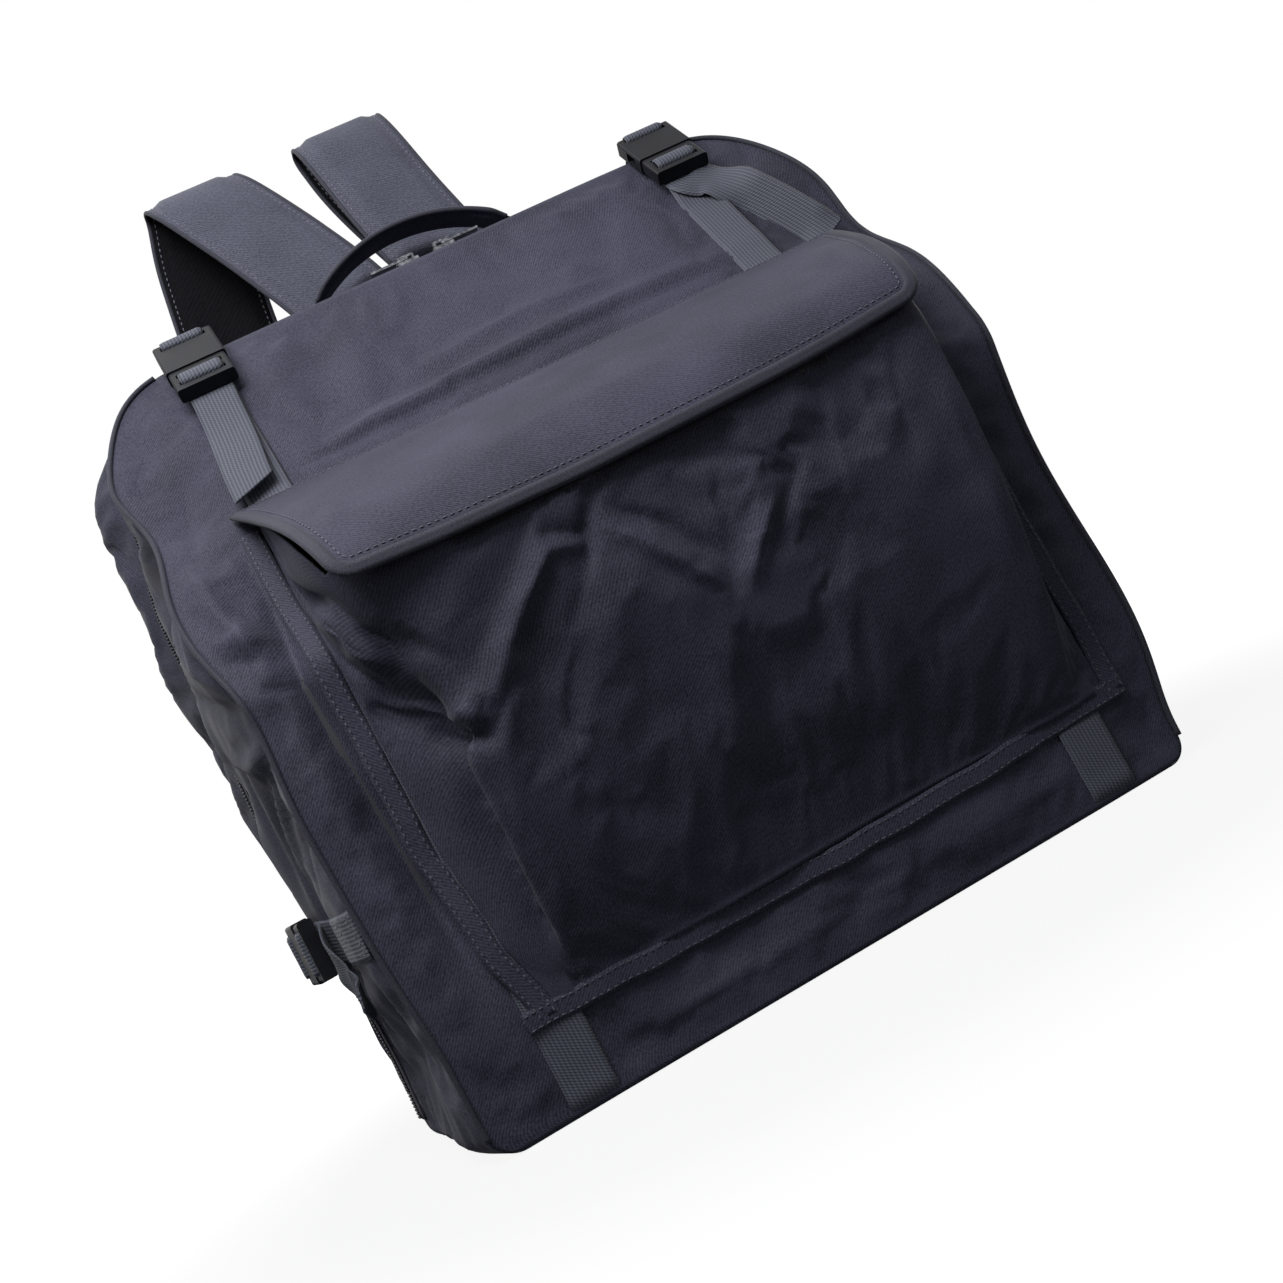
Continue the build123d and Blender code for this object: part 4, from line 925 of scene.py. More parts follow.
def bound_edge(name, y, body, start):
    """Binding over the cut edge of a wall at the zip."""
    def place(u, v):
        q = lerp(-1, 1, v)
        p = (1 - abs(q) * (1 - start)) * (1 if q >= 0 else -1)
        spot = outline(y, p, lerp(0.6, WALL + 0.6, u), 0.0 if start else FLOOR_TOP * u)
        spot.y += (0.6 if y < Y_ZIP else -0.6) * (1 - sin(pi * u))
        spot.z = max(spot.z, 36.0) if start >= COVER_START else spot.z
        return spot + bag_sag(Vector((spot.x, y, spot.z)))

    bm = laid_grid(6, 320, place, (12, 1500), turn_out=None)
    facing = sum(f.normal.y for f in bm.faces) * (1 if y < Y_ZIP else -1)
    if facing < 0:
        bmesh.ops.reverse_faces(bm, faces=bm.faces)
    return piece(name, bm, TAPE, body, thick=1.0)


front_lining(), cover_lining()
bound_edge("shell_bound_edge", Y_ZIP - 0.5, "front_shell", BREAKS[2])
bound_edge("cover_bound_edge", Y_ZIP + 0.5, "back_cover", COVER_START)
print("lining done")

# %% [markdown]
# ## Swept strips
# Webbing, tape, straps and the handle are all strips: a flat section carried along a line.
# The strip is again a grid, wrapped round its section and welded where it meets itself, so
# its UV map runs along the webbing and the ribs follow every bend. Each station of the line
# has a middle, a direction across and a direction out.

# %% Strips
def spread(points, count):
    """Points evenly along a smooth line through the given ones."""
    points = [Vector(p) for p in points]
    fine = []
    for i in range(len(points) - 1):
        p0, p1 = points[max(i - 1, 0)], points[i]
        p2, p3 = points[i + 1], points[min(i + 2, len(points) - 1)]
        for j in range(24):
            t = j / 24
            fine.append(0.5 * (2 * p1 + (p2 - p0) * t + (2 * p0 - 5 * p1 + 4 * p2 - p3) * t**2 + (3 * p1 - p0 - 3 * p2 + p3) * t**3))
    fine.append(points[-1])
    runs = [0.0]
    for a, b in zip(fine, fine[1:]):
        runs.append(runs[-1] + (b - a).length)
    out, k = [], 0
    for i in range(count):
        want = runs[-1] * i / (count - 1)
        while k < len(fine) - 2 and runs[k + 1] < want:
            k += 1
        t = (want - runs[k]) / max(runs[k + 1] - runs[k], 1e-9)
        out.append(fine[k].lerp(fine[k + 1], min(max(t, 0), 1)))
    return out, runs[-1]


def strip(stations, width, thick, around=20, half_thick=None, ends=True):
    """A closed strip along stations of (middle, across, out), in millimetres.

    half_thick(share, i) gives the half thickness at a share of the width from -1 to 1.
    """
    rows = len(stations) - 1
    length = sum((b[0] - a[0]).length for a, b in zip(stations, stations[1:]))
    widths = width if callable(width) else (lambda i: width)

    def thickness(share, i):
        if half_thick:
            return half_thick(share, i)
        return thick / 2 * min(1.0, (1 - abs(share)) * widths(i) / thick + 0.15) ** 0.5

    def place(u, v):
        i = min(int(round(v * rows)), rows)
        middle, across, out = stations[i]
        turn = u * 2
        share, sign = (lerp(-1, 1, turn), 1) if turn <= 1 else (lerp(1, -1, turn - 1), -1)
        return middle + across * (share * widths(i) / 2) + out * (sign * thickness(share, i))

    bm = bmesh.new()
    weave = bm.loops.layers.uv.new("weave")
    bmesh.ops.create_grid(bm, x_segments=around, y_segments=rows, size=0.5)
    wide = widths(rows // 2)
    for face in bm.faces:
        for loop in face.loops:
            u, v = loop.vert.co.x + 0.5, loop.vert.co.y + 0.5
            loop[weave].uv = (abs(u * 2 - 1) * wide * MM, v * length * MM)
    for vert in bm.verts:
        vert.co = place(vert.co.x + 0.5, vert.co.y + 0.5) * MM
    bmesh.ops.remove_doubles(bm, verts=bm.verts, dist=0.00002)
    if ends:
        bmesh.ops.holes_fill(bm, edges=[e for e in bm.edges if e.is_boundary], sides=0)
        bmesh.ops.triangulate(bm, faces=[f for f in bm.faces if len(f.verts) > 4])
    bmesh.ops.recalc_face_normals(bm, faces=bm.faces)
    return bm


def face_out(points, out_at):
    """Stations for a strip that lies on a surface, from its line and the way out of it."""
    found = []
    for i, point in enumerate(points):
        along = (points[min(i + 1, len(points) - 1)] - points[max(i - 1, 0)]).normalized()
        out = out_at(point, i)
        out = (out - along * out.dot(along)).normalized()
        found.append((point, along.cross(out).normalized(), out))
    return found


def tube(points, radius, sides=10):
    """A round cord sewn in along a line, in millimetres."""
    bm = bmesh.new()
    weave = bm.loops.layers.uv.new("weave")
    rows = len(points) - 1
    bmesh.ops.create_grid(bm, x_segments=sides, y_segments=rows, size=0.5)
    length = sum((b - a).length for a, b in zip(points, points[1:]))
    frames, out = [], None
    for i, point in enumerate(points):
        along = (points[min(i + 1, rows)] - points[max(i - 1, 0)]).normalized()
        start = out if out is not None else (Vector((0, 0, 1)) if abs(along.z) < 0.9 else Vector((0, 1, 0)))
        out = (start - along * start.dot(along)).normalized()
        frames.append((point, out, along.cross(out)))
    for face in bm.faces:
        for loop in face.loops:
            loop[weave].uv = ((loop.vert.co.x + 0.5) * 2 * pi * radius * MM, (loop.vert.co.y + 0.5) * length * MM)
    for vert in bm.verts:
        point, out, side = frames[min(int(round((vert.co.y + 0.5) * rows)), rows)]
        angle = (vert.co.x + 0.5) * 2 * pi
        vert.co = (point + (out * cos(angle) + side * sin(angle)) * radius) * MM
    bmesh.ops.remove_doubles(bm, verts=bm.verts, dist=0.00002)
    bmesh.ops.holes_fill(bm, edges=[e for e in bm.edges if e.is_boundary], sides=0)
    bmesh.ops.recalc_face_normals(bm, faces=bm.faces)
    return bm


def beads(places, batch=10):
    """Many small rounded beads in one mesh, made in short batches: a long mesh is slow to add to."""
    batches = []
    for start in range(0, len(places), batch):
        bm = bmesh.new()
        for place in places[start : start + batch]:
            bmesh.ops.create_uvsphere(bm, u_segments=6, v_segments=4, radius=1, matrix=place)
        batches.append(bm)
    return joined(batches)


def stitches(name, rows, body, pitch=4.2, long=3.1, wide=0.75, finish=THREAD):
    """Rows of thread: each row is (points, way out), each stitch a small flattened bead."""
    places = []
    for points, out_at in rows:
        length = sum((b - a).length for a, b in zip(points, points[1:]))
        line, _ = spread(points, max(int(length / pitch), 2))
        for i in range(len(line) - 1):
            a, b = line[i], line[i + 1]
            along = (b - a).normalized()
            out = out_at(a, i)
            out = (out - along * out.dot(along)).normalized()
            turn = Matrix((along, along.cross(out), out)).transposed().to_4x4()
            size = Matrix.Diagonal((long / 2, wide / 2, wide / 2.4, 1))
            places.append(Matrix.Scale(MM, 4) @ Matrix.Translation((a + b) / 2 + out * 0.1) @ turn @ size)
    return piece(name, beads(places), finish, body)


def on_surface(tree, start, toward, lift=0.0):
    """Where a line from start meets a piece, in millimetres, and the way out of it there."""
    hit, normal, _, _ = tree.ray_cast(Vector(start) * MM, Vector(toward).normalized(), 0.4)
    if hit is None:
        return None, None
    if normal.dot(Vector(toward)) > 0:
        normal = -normal
    return hit / MM + normal * lift, normal


front_tree, side_tree, cover_tree = surface_of(front), surface_of(sides), surface_of(cover)
UP_SLOPE = Vector((0, -sin(SLOPE), cos(SLOPE)))


def toward_front(z):
    """Way to look for the front or the slope from outside it."""
    t = smooth((z - 250) / 80)
    return -Vector((0, -1, 0)).lerp(UP_SLOPE, t)


def on_front(x, z, lift=0.0):
    """A place on the finished front or slope, lifted off it."""
    look = toward_front(z)
    base = Vector((x, front_depth(min(z, HEIGHT)), z))
    spot, out = on_surface(front_tree, base - look.normalized() * 80, look, lift)
    if spot is None:
        return base - look.normalized() * lift, -look.normalized()
    return spot, out


print("front under the hem", on_front(-203, 200))

# %% [markdown]
# ## Piping and the zip
# A covered cord is sewn into the edge between the front and the sides, which keeps that edge
# crisp while the cloth round it sags. The zip is a nylon coil on woven tape. Its turns are
# drawn as small beads, a few dozen faces each, because there are hundreds of them.

# %% Piping
def seam_point(q, lift=1.0):
    """A place on the front's edge: q from -1 at the left base to 1 at the right base."""
    spot = band_place(0.0, (q + 1) / 2)
    inward = band_place(0.04, (q + 1) / 2)
    away = (spot - inward).normalized() + (spot - Vector((0, spot.y, 270))).normalized()
    return spot + away.normalized() * lift


def piping():
    parts = []
    for side in (-1, 1):
        line = [seam_point(side * (0.985 - 0.74 * i / 150)) for i in range(151)]
        line = [p for p in line if p.z > 12 and abs(p.x) > 201]
        smooth_line, _ = spread(line[::3], 220)
        parts.append(tube(smooth_line, 1.7))
    made = piece("seam_piping_cord", joined(parts), TAPE, "front_shell", ["seam_piping"])
    return made


piping()

# %% Zip tapes and coil
def ring_line(y, inset, count, start):
    """Even points along the outline at a depth, from the left base over the top to the right."""
    line = []
    for i in range(600):
        q = lerp(-1, 1, i / 599)
        p = (1 - abs(q) * (1 - start)) * (1 if q >= 0 else -1)
        spot = outline(y, p, inset)
        line.append(spot + bag_sag(outline(y, p)) * smooth((Y_BACK - y) / 50))
    return spread(line[::4] + [line[-1]], count)


def ring_out(point, i=0):
    return Vector((point.x, 0, point.z - 300)).normalized() if abs(point.x) < 200 else Vector((point.x - (190 if point.x > 0 else -190), 0, max(point.z - 450, 0))).normalized()


def zip_tape(name, node, y0, y1, body):
    def place(u, v):
        q = lerp(-1, 1, v)
        p = (1 - abs(q) * (1 - COVER_START)) * (1 if q >= 0 else -1)
        y = lerp(y0, y1, u)
        flat = outline(y, p)
        return outline(y, p, -1.0 - 0.5 * sin(pi * u)) + bag_sag(flat) * smooth((Y_BACK - y) / 50)

    bm = laid_grid(5, 330, place, (10, 1500), turn_out=None)
    facing = sum(f.normal.dot(f.calc_center_median() - Vector((0, f.calc_center_median().y, 0.25))) for f in bm.faces)
    if facing < 0:
        bmesh.ops.reverse_faces(bm, faces=bm.faces)
    return piece(name, bm, TAPE, body, [node], thick=0.9)


def coil_row(name, node, y, body):
    line, length = ring_line(y, -2.0, 620, COVER_START)
    places = []
    for i in range(len(line) - 1):
        a, b = line[i], line[i + 1]
        along, middle = (b - a).normalized(), (a + b) / 2
        out = ring_out(middle)
        out = (out - along * out.dot(along)).normalized()
        turn = Matrix((along, along.cross(out), out)).transposed().to_4x4()
        lean = Matrix.Rotation(0.35 if y < Y_ZIP else -0.35, 4, "Z")
        size = Matrix.Diagonal((0.95, 1.7, 1.15, 1))
        places.append(Matrix.Scale(MM, 4) @ Matrix.Translation(middle) @ turn @ lean @ size)
    print(name, "pitch", round(length / 619, 2), "mm")
    return piece(name, beads(places), COIL, body, [node])


zip_tape("zip_tape_of_shell", "zip_tape_front", Y_ZIP - 10.5, Y_ZIP - 0.5, "front_shell")
zip_tape("zip_tape_of_cover", "zip_tape_back", Y_ZIP + 0.5, Y_ZIP + 10.5, "back_cover")
coil_row("zip_coil_of_shell", "zip_teeth_front", Y_ZIP - 1.6, "front_shell")
coil_row("zip_coil_of_cover", "zip_teeth_back", Y_ZIP + 1.6, "back_cover")

# %% [markdown]
# ## The pocket
# The pocket is a slack bag on the front, cut as one cloth: a gusset at each side and a
# leaning panel between them, held by a flat hem tape that is stitched twice all round. The
# cloth has spare length, so creases run in from where the flap and the hem pull on it.

# %% Pocket: where its edges and its hem lie
POCKET_LOW, POCKET_TOP = 62.0, 328.0
HEM_X, HEM_LOW, HEM_HIGH = 202.5, 60.5, 391.0


def along_line(points, z):
    """Reads a smooth curve given as (height, value) pairs."""
    for (z0, a), (z1, b) in zip(points, points[1:]):
        if z <= z1 or (z1, b) == points[-1]:
            return lerp(a, b, smooth((z - z0) / (z1 - z0)))


def hem_x(side, z):
    """The hem's middle: it leans out at the left, because the pocket is pulled to the right."""
    return along_line([(57, -182), (112, -194), (175, -200), (391, -202)], z) if side < 0 else along_line([(60, 210), (200, 209), (391, 214)], z)


def pocket_side(side, z):
    """Where the pocket's panel ends at a height."""
    if side < 0:
        return along_line([(62, -158), (198, -157), (228, -151), (262, -161), (328, -176)], z)
    return along_line([(62, 187), (248, 191), (328, 191)], z)


def pocket_out(z):
    """Depth of the panel's face at a height."""
    t = min(max((z - 66) / 262, 0), 1)
    full = -129.5 - 57 * sin(pi / 2 * 1.1 * t**0.9)
    return lerp(lerp(-129.5, -184.0, t), full, 0.75)


POCKET_FOLDS = [
    # at the left, creases run down from the flap's corner and the hem
    ([(-196, 344), (-181, 313), (-172, 292), (-152, 264), (-138, 244)], -6.5, 5),
    ([(-194, 326), (-178, 286), (-166, 262)], 6.5, 7),
    ([(-194, 294), (-176, 258), (-160, 240)], -4.5, 5),
    ([(-178, 262), (-160, 238), (-136, 210)], 6.0, 7),
    ([(-170, 230), (-152, 211), (-134, 202)], -5.0, 6),
    ([(-60, 288), (-98, 256), (-136, 222)], 4.5, 9),
    ([(-118, 205), (-92, 180), (-84, 140)], -2.5, 10),
    # in the middle, two soft creases that meet in a V
    ([(-76, 292), (-58, 286), (-40, 276)], -3.5, 6),
    ([(-44, 284), (-24, 264), (-6, 240), (16, 208)], 5.5, 6),
    ([(-34, 292), (-4, 262), (20, 226)], -4.5, 6),
    ([(62, 256), (40, 232), (20, 208)], 4.2, 7),
    ([(80, 262), (58, 236), (34, 212)], -3.0, 7),
    ([(-72, 240), (-98, 208), (-112, 165)], 3.0, 10),
    ([(-40, 300), (-52, 262), (-86, 226)], -2.4, 8),
    # at the right, long slack ones
    ([(122, 296), (108, 262), (98, 222)], 3.0, 10),
    ([(168, 306), (152, 268), (144, 226)], -2.6, 11),
    ([(148, 306), (136, 280), (128, 240)], 2.6, 9),
    ([(182, 290), (176, 220), (180, 150)], 2.0, 9),
    ([(-60, 112), (20, 98), (90, 110)], 1.5, 14),
    ([(-150, 190), (-144, 130), (-150, 84)], 2.0, 8),
]


def pocket_relief(spot):
    x, y, z = spot
    inside = min(x - pocket_side(-1, z) + 26, pocket_side(1, z) - x)
    edge = smooth((inside + 1) / 12) * smooth((z - POCKET_LOW) / 14) * smooth((POCKET_TOP + 30 - z) / 20)
    slack = smooth((z - 90) / 130)
    ripple = noise.noise(Vector((x / 52, z / 44, 31.0))) * 3.4 * slack + noise.noise(Vector((x / 22, z / 20, 37.0))) * 0.9 * slack
    return edge * (fold_height(Vector((x, z)), POCKET_FOLDS) + ripple)


# %% Pocket: one cloth from hem to hem
LEFT_SHARE, RIGHT_SHARE, WEBBING_X = 0.14, 0.90, 179.0


def pocket_place(u, v):
    """The pocket's cloth: a gusset at each side and the panel between them."""
    side = -1 if u < 0.5 else 1
    share = u / LEFT_SHARE if side < 0 else (1 - u) / (1 - RIGHT_SHARE)
    share = min(share, 1.0)
    top = lerp(HEM_HIGH - 3, POCKET_TOP, share**1.7)
    z = lerp(POCKET_LOW - 1, top, v)
    level = min(z, POCKET_TOP)
    edge_x, face = pocket_side(side, level), pocket_out(level)
    # the left edge is soft above the creases and folded sharp below them
    turn = lerp(3.0, 24.0, smooth((z - 205) / 50)) if side < 0 else 3.0
    turn = min(turn, (Y_FRONT - face) * 0.6 + 1)
    if share < 1.0:
        base = on_front(hem_x(side, z) - side * 7.0, z, 2.6)[0]
        edge = Vector((edge_x, face + turn, z))
        spot = base.lerp(edge, share)
        reach = (edge - base).length
        if side < 0:
            # a hollow beside the hem, deepest low down where the panel's edge folds over it
            hollow = sin(pi * share**2.4) * min(reach * 0.4, 16.0)
            spot += Vector((0.75, 0.65, 0)).normalized() * hollow * lerp(1.0, -0.2, smooth((z - 225) / 50)) * smooth((z - 72) / 40)
        else:
            hollow = (1 - abs(2 * share - 1)) ** 1.2 * min(reach * 0.3, 13.0)
            spot += Vector((-0.85, 0.25, 0)).normalized() * hollow * smooth((z - 80) / 60)
        over_webbing = smooth((20 - abs(abs(spot.x) - WEBBING_X)) / 4)
        spot.y = min(spot.y, front_depth(min(z, HEIGHT)) - 2.4 - 2.2 * over_webbing)
        return spot
    x0, x1 = pocket_side(-1, level), pocket_side(1, level)
    x = lerp(x0, x1, (u - LEFT_SHARE) / (RIGHT_SHARE - LEFT_SHARE))
    y = pocket_out(level) - 3.5 * sin(pi * (x - x0) / (x1 - x0)) * smooth((z - 90) / 120)
    for far, r in ((x - x0, turn if side < 0 else lerp(3.0, 24.0, smooth((z - 205) / 50))), (x1 - x, 3.0)):
        r = min(r, (Y_FRONT - pocket_out(level)) * 0.6 + 1)
        if far < r:
            y += r - sqrt(max(r**2 - (r - far) ** 2, 0))
    return Vector((x, y, z + 0.8 * sin(x / 40)))


FLAP_PROFILE = [(-49.5, 406.6), (-88, 391.5), (-125, 374.5), (-156, 357.5), (-178, 341), (-190.5, 325), (-196, 311)]
FLAP_LINE, FLAP_RUN = spread([(0, y, z) for y, z in FLAP_PROFILE], 61)


def flap_inside(z):
    """How far out the pocket's cloth may come under the closed flap, tapes included."""
    if z < FLAP_LINE[-1].z - 6:
        return -1000.0
    place = min(FLAP_LINE, key=lambda p: abs(p.z - 1.5 - z))
    return place.y + 6.5


def pocket_cloth():
    bm = laid_grid(186, 112, pocket_place, (0.46e3, 290), turn_out=Vector((0, 0, 0.2)))
    relief(bm, pocket_relief)
    made = piece("pocket_cloth", bm, CLOTH, "front_shell", ["pocket_panel", "pocket_gussets"])

    def sewn(spot):
        x, y, z = spot
        free = x - hem_x(-1, z) > 9 and hem_x(1, z) - x > 9 and z > POCKET_LOW + 6
        if z < 225 and x < pocket_side(-1, z) - 3:
            free = False
        return 0.0 if free else 1.0

    settle(made, sewn, spare=0.02, reach=4.0)
    for vert in made.data.vertices:
        x, y, z = vert.co / MM
        vert.co.y = max(y, flap_inside(z)) * MM
    wall = made.modifiers.new("thickness", "SOLIDIFY")
    wall.thickness, wall.offset = 1.4 * MM, -1.0
    return made


pocket = pocket_cloth()
pocket_tree = surface_of(pocket)

# %% Hem tape with its two rows of stitching
def hem_line(points, lift):
    """The hem's line on the finished front, with the small waves of sewn tape."""
    found = []
    for x, z in points:
        wave = noise.noise(Vector((x / 30, z / 30, 8.0))) * 1.4
        found.append(on_front(x + wave * 0.6, z + wave, lift)[0])
    return found


def hem_low(x):
    """The lower hem sags a little between its corners."""
    return HEM_LOW - 5.0 * sin(pi * min(max((x + 190) / 400, 0), 1)) - 1.5


HEM_RUNS = {
    "left": [(hem_x(-1, HEM_HIGH - 4 - 5.5 * i), HEM_HIGH - 4 - 5.5 * i) for i in range(61)],
    "right": [(hem_x(1, HEM_HIGH - 4 - 5.5 * i), HEM_HIGH - 4 - 5.5 * i) for i in range(61)],
    "bottom": [(-195 + 5.07 * i, hem_low(-195 + 5.07 * i)) for i in range(82)],
}


def front_out(point, i=0):
    return -toward_front(point.z).normalized()


def pocket_hem():
    parts, rows = [], []
    for name, run in HEM_RUNS.items():
        line, _ = spread(hem_line(run, 2.4), 120)
        stations = face_out(line, front_out)
        parts.append(strip(stations, 13.0, 2.6, 16))
        for offset in (-4.5, 4.3):
            rows.append(([m + a * offset + o * 1.25 for m, a, o in stations], front_out))
    # a box of stitches at each lower corner
    for side in (-1, 1):
        x = hem_x(side, 60)
        for dx in (-4.5, 4.5):
            rows.append(([on_front(x + dx, HEM_LOW - 1.5 + k, 4.0)[0] for k in (-5, 0, 5)], front_out))
    piece("pocket_hem_tape", joined(parts), CLOTH, "front_shell", ["pocket_hem"])
    stitches("hem_stitches", rows, "front_shell", pitch=4.6, long=3.3, wide=1.1, finish=HEM_THREAD)


pocket_hem()

# %% [markdown]
# ## The flap
# The flap is two layers of cloth sewn to the slope, with a bound edge. It rolls over the
# pocket's mouth instead of breaking at a line, its lower edge sags in the middle, and its
# seam must bend when the flap is lifted.

# %% Flap
FLAP_CORNER = 13.0


def drift(x):
    """The flap's cloth is pulled a little to the right of the bag's middle."""
    return lerp(9, 7, (x + 208) / 416)


def flap_half(run):
    """Half width of the flap at a length down from its seam, with its round lower corners."""
    t = run / FLAP_RUN
    half = lerp(223, 186, t)
    left = FLAP_RUN - run
    radius = FLAP_CORNER
    if left < radius:
        half -= radius - sqrt(max(radius**2 - (radius - left) ** 2, 0))
    return half


def flap_spot(x_share, run, lift=0.0):
    t = min(max(run / FLAP_RUN, 0), 1) * 60
    i = min(int(t), 59)
    base = FLAP_LINE[i].lerp(FLAP_LINE[i + 1], t - i)
    along = (FLAP_LINE[i + 1] - FLAP_LINE[i]).normalized()
    out = Vector((0, along.z, -along.y)).normalized()
    if out.z < 0 and out.y > 0:
        out = -out
    x = x_share * flap_half(run)
    share = run / FLAP_RUN
    # the corners ride up, the middle sags, and the sides lift like stiff cloth
    rise = 7.5 * share**2 * abs(x / 190) ** 2.5 - 1.5 * share
    wave = noise.noise(Vector((x / 70, run / 60, 41.0))) * 2.2 * share
    crease = fold_height(Vector((x, run)), FLAP_FOLDS)
    shift = drift(x) + 6 * (1 - share) * smooth(-x / 160)
    return Vector((x + shift, base.y, base.z + rise)) + out * (lift + wave + crease), out


FLAP_FOLDS = [
    ([(-150, 20), (-60, 34), (60, 30), (160, 18)], 1.6, 14),
    ([(-120, 150), (-40, 120), (60, 128)], 1.4, 18),
    ([(-190, 60), (-170, 110), (-172, 150)], 2.0, 12),
    ([(190, 40), (176, 100), (172, 150)], 2.2, 12),
]


def flap():
    bm = laid_grid(104, 48, lambda u, v: flap_spot(lerp(-1, 1, u), v * FLAP_RUN)[0], (420, FLAP_RUN), turn_out=Vector((0, 0.1, 0.2)))
    made = piece("flap", bm, CLOTH, None, ["pocket_flap"], thick=2.6)
    apply_modifiers(made)
    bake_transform(made)
    return made


def flap_edge_line(inset, lift=0.0, low=10.0):
    """The flap's three free edges, from the left seam round the lip to the right seam."""
    line = []
    for i in range(40):
        run = lerp(low, FLAP_RUN - FLAP_CORNER - 1, i / 39)
        line.append(flap_spot(-1 + inset / flap_half(run), run, lift)[0])
    for i in range(1, 14):
        a = i / 14 * pi / 2
        run = FLAP_RUN - FLAP_CORNER + (FLAP_CORNER - min(inset, FLAP_CORNER - 1)) * sin(a)
        half = lerp(223, 186, run / FLAP_RUN) - FLAP_CORNER + (FLAP_CORNER - min(inset, FLAP_CORNER - 1)) * cos(a)
        line.append(flap_spot(-half / flap_half(run), run, lift)[0])
    for i in range(1, 80):
        x = lerp(-170, 170, i / 80)
        run = FLAP_RUN - inset
        line.append(flap_spot(x / flap_half(run), run, lift)[0])
    mirror = []
    for i in range(13, 0, -1):
        a = i / 14 * pi / 2
        run = FLAP_RUN - FLAP_CORNER + (FLAP_CORNER - min(inset, FLAP_CORNER - 1)) * sin(a)
        half = lerp(223, 186, run / FLAP_RUN) - FLAP_CORNER + (FLAP_CORNER - min(inset, FLAP_CORNER - 1)) * cos(a)
        mirror.append(flap_spot(half / flap_half(run), run, lift)[0])
    for i in range(39, -1, -1):
        run = lerp(low, FLAP_RUN - FLAP_CORNER - 1, i / 39)
        mirror.append(flap_spot(1 - inset / flap_half(run), run, lift)[0])
    return line + mirror


def flap_out(point, i=0):
    t = smooth((-point.y - 150) / 42)
    return Vector((0, -0.4, 0.9)).lerp(Vector((0, -1, 0.1)), t).normalized()


def flap_edging():
    line, _ = spread(flap_edge_line(3.2, -1.3)[::2], 260)
    tape = piece("flap_edge_tape", strip(face_out(line, flap_out), 8.5, 4.6, 16), TAPE, None, ["flap_binding"])
    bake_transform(tape)
    row, _ = spread(flap_edge_line(10.5, 0.35, 16)[::2], 260)
    stitches("flap_stitches", [(row, flap_out)], "pocket_flap", pitch=4.4)
    seam = [flap_spot(lerp(-0.97, 0.97, i / 80), 5.0, 0.35)[0] for i in range(81)]
    stitches("flap_seam_stitches", [(seam, lambda p, i: Vector((0, -0.4, 0.9)))], "front_shell", pitch=4.4)


flap(), flap_edging()

# %% [markdown]
# ## Hook and loop tape
# Under the lip a strip of hook tape meets a strip of loop tape on the pocket. Both are
# plain strips, sewn flat, and are seen only when the flap is lifted.

# %% Hook and loop tape
def hook_and_loop_strips():
    hooks = laid_grid(80, 4, lambda u, v: flap_spot(lerp(-0.645, 0.645, u), FLAP_RUN - lerp(21.0, 5.0, v), -2.7)[0], (240, 16), turn_out=Vector((0, -0.4, 0.32)))
    piece("flap_hook_strip", hooks, HOOKS, "pocket_flap", ["flap_hook_tape"], thick=1.1)
    def place(u, v):
        x, z = lerp(-120, 120, u) + 8, lerp(306, 322, v)
        spot, out = on_surface(pocket_tree, (x, -260, z), (0, 1, 0), 0.5)
        return spot if spot is not None else Vector((x, pocket_out(z) - 3, z))

    loops = laid_grid(80, 5, place, (240, 16), turn_out=Vector((0, 0, 0.3)))
    piece("pocket_loop_strip", loops, LOOPS, "front_shell", ["pocket_loop_tape"], thick=0.6)


hook_and_loop_strips()

# %% [markdown]
# ## Webbing and buckles
# Two upright webbings run from the base, under the pocket and up to the buckles. Each tail
# is the free end of the webbing: it goes round the buckle's bar and hangs down the slope.
# A buckle has its own small frame, given by where its prongs are rooted, the way along the
# strap and the way out.

# %% Buckle frames and ribbons
SIDE_STRAP_Z, TILT = 148.0, radians(48)


class Buckle:
    """A buckle's place: its roots' middle, the way along the strap and the way out."""

    def __init__(self, root, along, out):
        self.root, self.along, self.out = Vector(root), Vector(along), Vector(out)
        self.across = self.along.cross(self.out)

    def at(self, u, w, across=0.0):
        return self.root + self.along * u + self.out * w + self.across * across


def top_buckle(side):
    root = (side * WEBBING_X, SLOPE_TOP_Y - 27 * cos(TILT) - 7.5 * sin(TILT), HEIGHT - 27 * sin(TILT) + 7.5 * cos(TILT))
    return Buckle(root, (0, cos(TILT), sin(TILT)), (0, -sin(TILT), cos(TILT)))


def wall_half(y, z):
    front_half, zip_half = 235 + 39 * z / HEIGHT, 273 + 9 * z / HEIGHT
    return lerp(front_half, zip_half, (y - Y_FRONT + 3) / 183)


LEAN = atan2(wall_half(Y_ZIP, SIDE_STRAP_Z) - wall_half(Y_FRONT, SIDE_STRAP_Z), 180)


def side_buckle(side):
    root = (side * (wall_half(25, SIDE_STRAP_Z) + 14.5 * cos(LEAN)), 25 - 14.5 * sin(LEAN), SIDE_STRAP_Z)
    return Buckle(root, (side * sin(LEAN), cos(LEAN), 0), (side * cos(LEAN), -sin(LEAN), 0))


